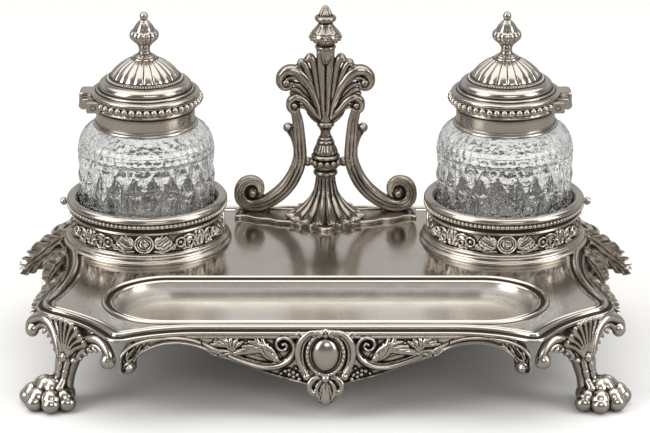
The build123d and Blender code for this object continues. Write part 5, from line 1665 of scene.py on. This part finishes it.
rosettes = []
for number in range(8):
    a = 2 * math.pi * number / 8
    way = np.array((math.sin(a), -math.cos(a), 0.0))
    spot = np.array((0.0, handle_y, 137.9))
    rosettes.append(ball(spot + 7.3 * way, 1.15, rows=10, sides=14))
    for petal in range(6):
        b = 2 * math.pi * petal / 6
        rosettes.append(ball(spot + 7.0 * way + 1.5 * (math.cos(b) * np.array((-way[1], way[0],
            0)) + math.sin(b) * np.array((0, 0, 1))), 0.85, rows=8, sides=12))
urn_shape = spun(urn, 180, shaping=urn_leaves, centre=centre)
top_urn = piece("top_urn", joined([urn_shape] + rosettes), handle_painted_shade_silver)
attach(top_urn, "stand")
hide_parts("handle_finial")


# ---- Table, backdrop light and camera ----
# A pale table under soft light: a broad box above, one on each side and a small one in front, in
# a dark room that gives the silver its black bands. The camera and the glass see white instead.
table_mesh = bpy.data.meshes.new("table")
table_mesh.from_pydata(
    [(-6, -4, 0), (6, -4, 0), (6, 9, 0), (-6, 9, 0)], [], [(0, 1, 2, 3)]
)
table_coat, nodes, links, card = blank_coat("table_card")
grain = added(nodes, "ShaderNodeTexNoise", "grain", {"Scale": 700.0})
spot = added(nodes, "ShaderNodeTexCoord", "spot")
links.new(spot.outputs["Object"], grain.inputs["Vector"])
tint = added(nodes, "ShaderNodeMix", "tint",
    {"A": (0.94, 0.94, 0.94, 1), "B": (0.97, 0.97, 0.965, 1)}, data_type="RGBA")
links.new(grain.outputs["Fac"], tint.inputs["Factor"])
sight = added(nodes, "ShaderNodeLightPath", "sight")
clear = added(nodes, "ShaderNodeMath", "clear", operation="MAXIMUM")
links.new(sight.outputs["Is Camera Ray"], clear.inputs[0])
links.new(sight.outputs["Is Transmission Ray"], clear.inputs[1])
shown = added(nodes, "ShaderNodeMix", "shown", {"A": (0.36, 0.35, 0.335, 1)}, data_type="RGBA")
links.new(clear.outputs[0], shown.inputs["Factor"])
linked(links, (
    (tint, "Result", shown, "B"), (shown, "Result", card, "Base Color"),
))
card.inputs["Roughness"].default_value = 0.85
card.inputs["Specular IOR Level"].default_value = 0.2
table_mesh.materials.append(table_coat)
table = placed("table", table_mesh)


def soft_box(name, place, target, size, power, tint=(1.0, 0.99, 0.97)):
    """A rectangular soft light that looks at a point."""
    lamp = bpy.data.lights.new(name, "AREA")
    lamp.shape = "RECTANGLE"
    lamp.size, lamp.size_y = size
    lamp.energy = power
    lamp.color = tint
    stand = placed(name, lamp)
    stand.location = place
    stand.rotation_euler = (Vector(target) - Vector(place)).to_track_quat("-Z", "Y").to_euler()


soft_box("box_above", (0.0, 0.25, 1.45), (0, 0.02, 0.03), (2.8, 1.7), 23.0)
soft_box("box_left", (-1.2, -0.6, 0.75), (0, 0, 0.06), (0.8, 1.2), 11.5)
soft_box("box_right", (1.25, -0.45, 0.65), (0, 0, 0.06), (0.6, 1.0), 7.5)
soft_box("box_front", (0.35, -1.5, 0.95), (0, 0, 0.05), (0.9, 0.5), 4.0)

world = bpy.data.worlds.new("studio")
bpy.context.scene.world = world
world.use_nodes = True
sky = world.node_tree
backdrop = sky.nodes["Background"]


def ramp(label, source, stops):
    """A grey ramp over one value."""
    node = added(sky.nodes, "ShaderNodeValToRGB", label)
    first, last = node.color_ramp.elements
    first.position, last.position = stops[0][0], stops[-1][0]
    first.color, last.color = [(v, 0.985 * v, 0.965 * v, 1) for v in (stops[0][1], stops[-1][1])]
    for position, value in stops[1:-1]:
        node.color_ramp.elements.new(position).color = (value, 0.985 * value, 0.965 * value, 1)
    sky.links.new(source, node.inputs["Fac"])
    return node.outputs["Color"]


def blended(label, share, one, two):
    """A mix of two colours."""
    node = added(sky.nodes, "ShaderNodeMix", label, data_type="RGBA")
    for socket, value in ((node.inputs["Factor"], share), (node.inputs["A"], one),
        (node.inputs["B"], two)):
        if isinstance(value, tuple):
            socket.default_value = value
        else:
            sky.links.new(value, socket)
    return node.outputs["Result"]


ray = added(sky.nodes, "ShaderNodeLightPath", "ray")
where = added(sky.nodes, "ShaderNodeTexCoord", "where")
part = added(sky.nodes, "ShaderNodeSeparateXYZ", "part")
sky.links.new(where.outputs["Generated"], part.inputs["Vector"])
behind = ramp("behind", part.outputs["Z"],
    ((0.0, 0.34), (0.12, 0.52), (0.30, 0.62), (0.45, 0.50), (0.62, 0.14), (1.0, 0.36)))
ahead = ramp("ahead", part.outputs["Z"],
    ((0.0, 0.26), (0.06, 0.20), (0.22, 0.07), (0.42, 0.12), (0.70, 0.22), (1.0, 0.36)))
side_share = added(sky.nodes, "ShaderNodeMapRange", "side_share",
    {"From Min": 0.0, "From Max": 0.7}, interpolation_type="SMOOTHSTEP")
sky.links.new(part.outputs["Y"], side_share.inputs["Value"])
room = blended("room", side_share.outputs["Result"], ahead, behind)
seen = added(sky.nodes, "ShaderNodeMath", "seen", operation="MAXIMUM")
sky.links.new(ray.outputs["Is Camera Ray"], seen.inputs[0])
sky.links.new(ray.outputs["Is Transmission Ray"], seen.inputs[1])
sky.links.new(blended("choose", seen.outputs[0], room, (1.0, 1.0, 1.0, 1.0)),
    backdrop.inputs["Color"])
backdrop.inputs["Strength"].default_value = 1.0

lens = bpy.data.cameras.new("lens")
lens.lens = 203.4
lens.sensor_width = 36.0
lens.shift_y = 50.0 / 650.0
lens.shift_x = -0.5 / 650.0
lens.clip_end = 50.0
camera = placed("camera", lens)
tilt, distance = math.radians(20.5), 1.8
aim_y, aim_z = -0.0015, 0.044
camera.location = (0.0, aim_y - distance * math.cos(tilt), aim_z + distance * math.sin(tilt))
camera.rotation_euler = (math.radians(90) - tilt, 0, 0)
bpy.context.scene.camera = camera
bpy.context.scene.view_settings.view_transform = "Standard"
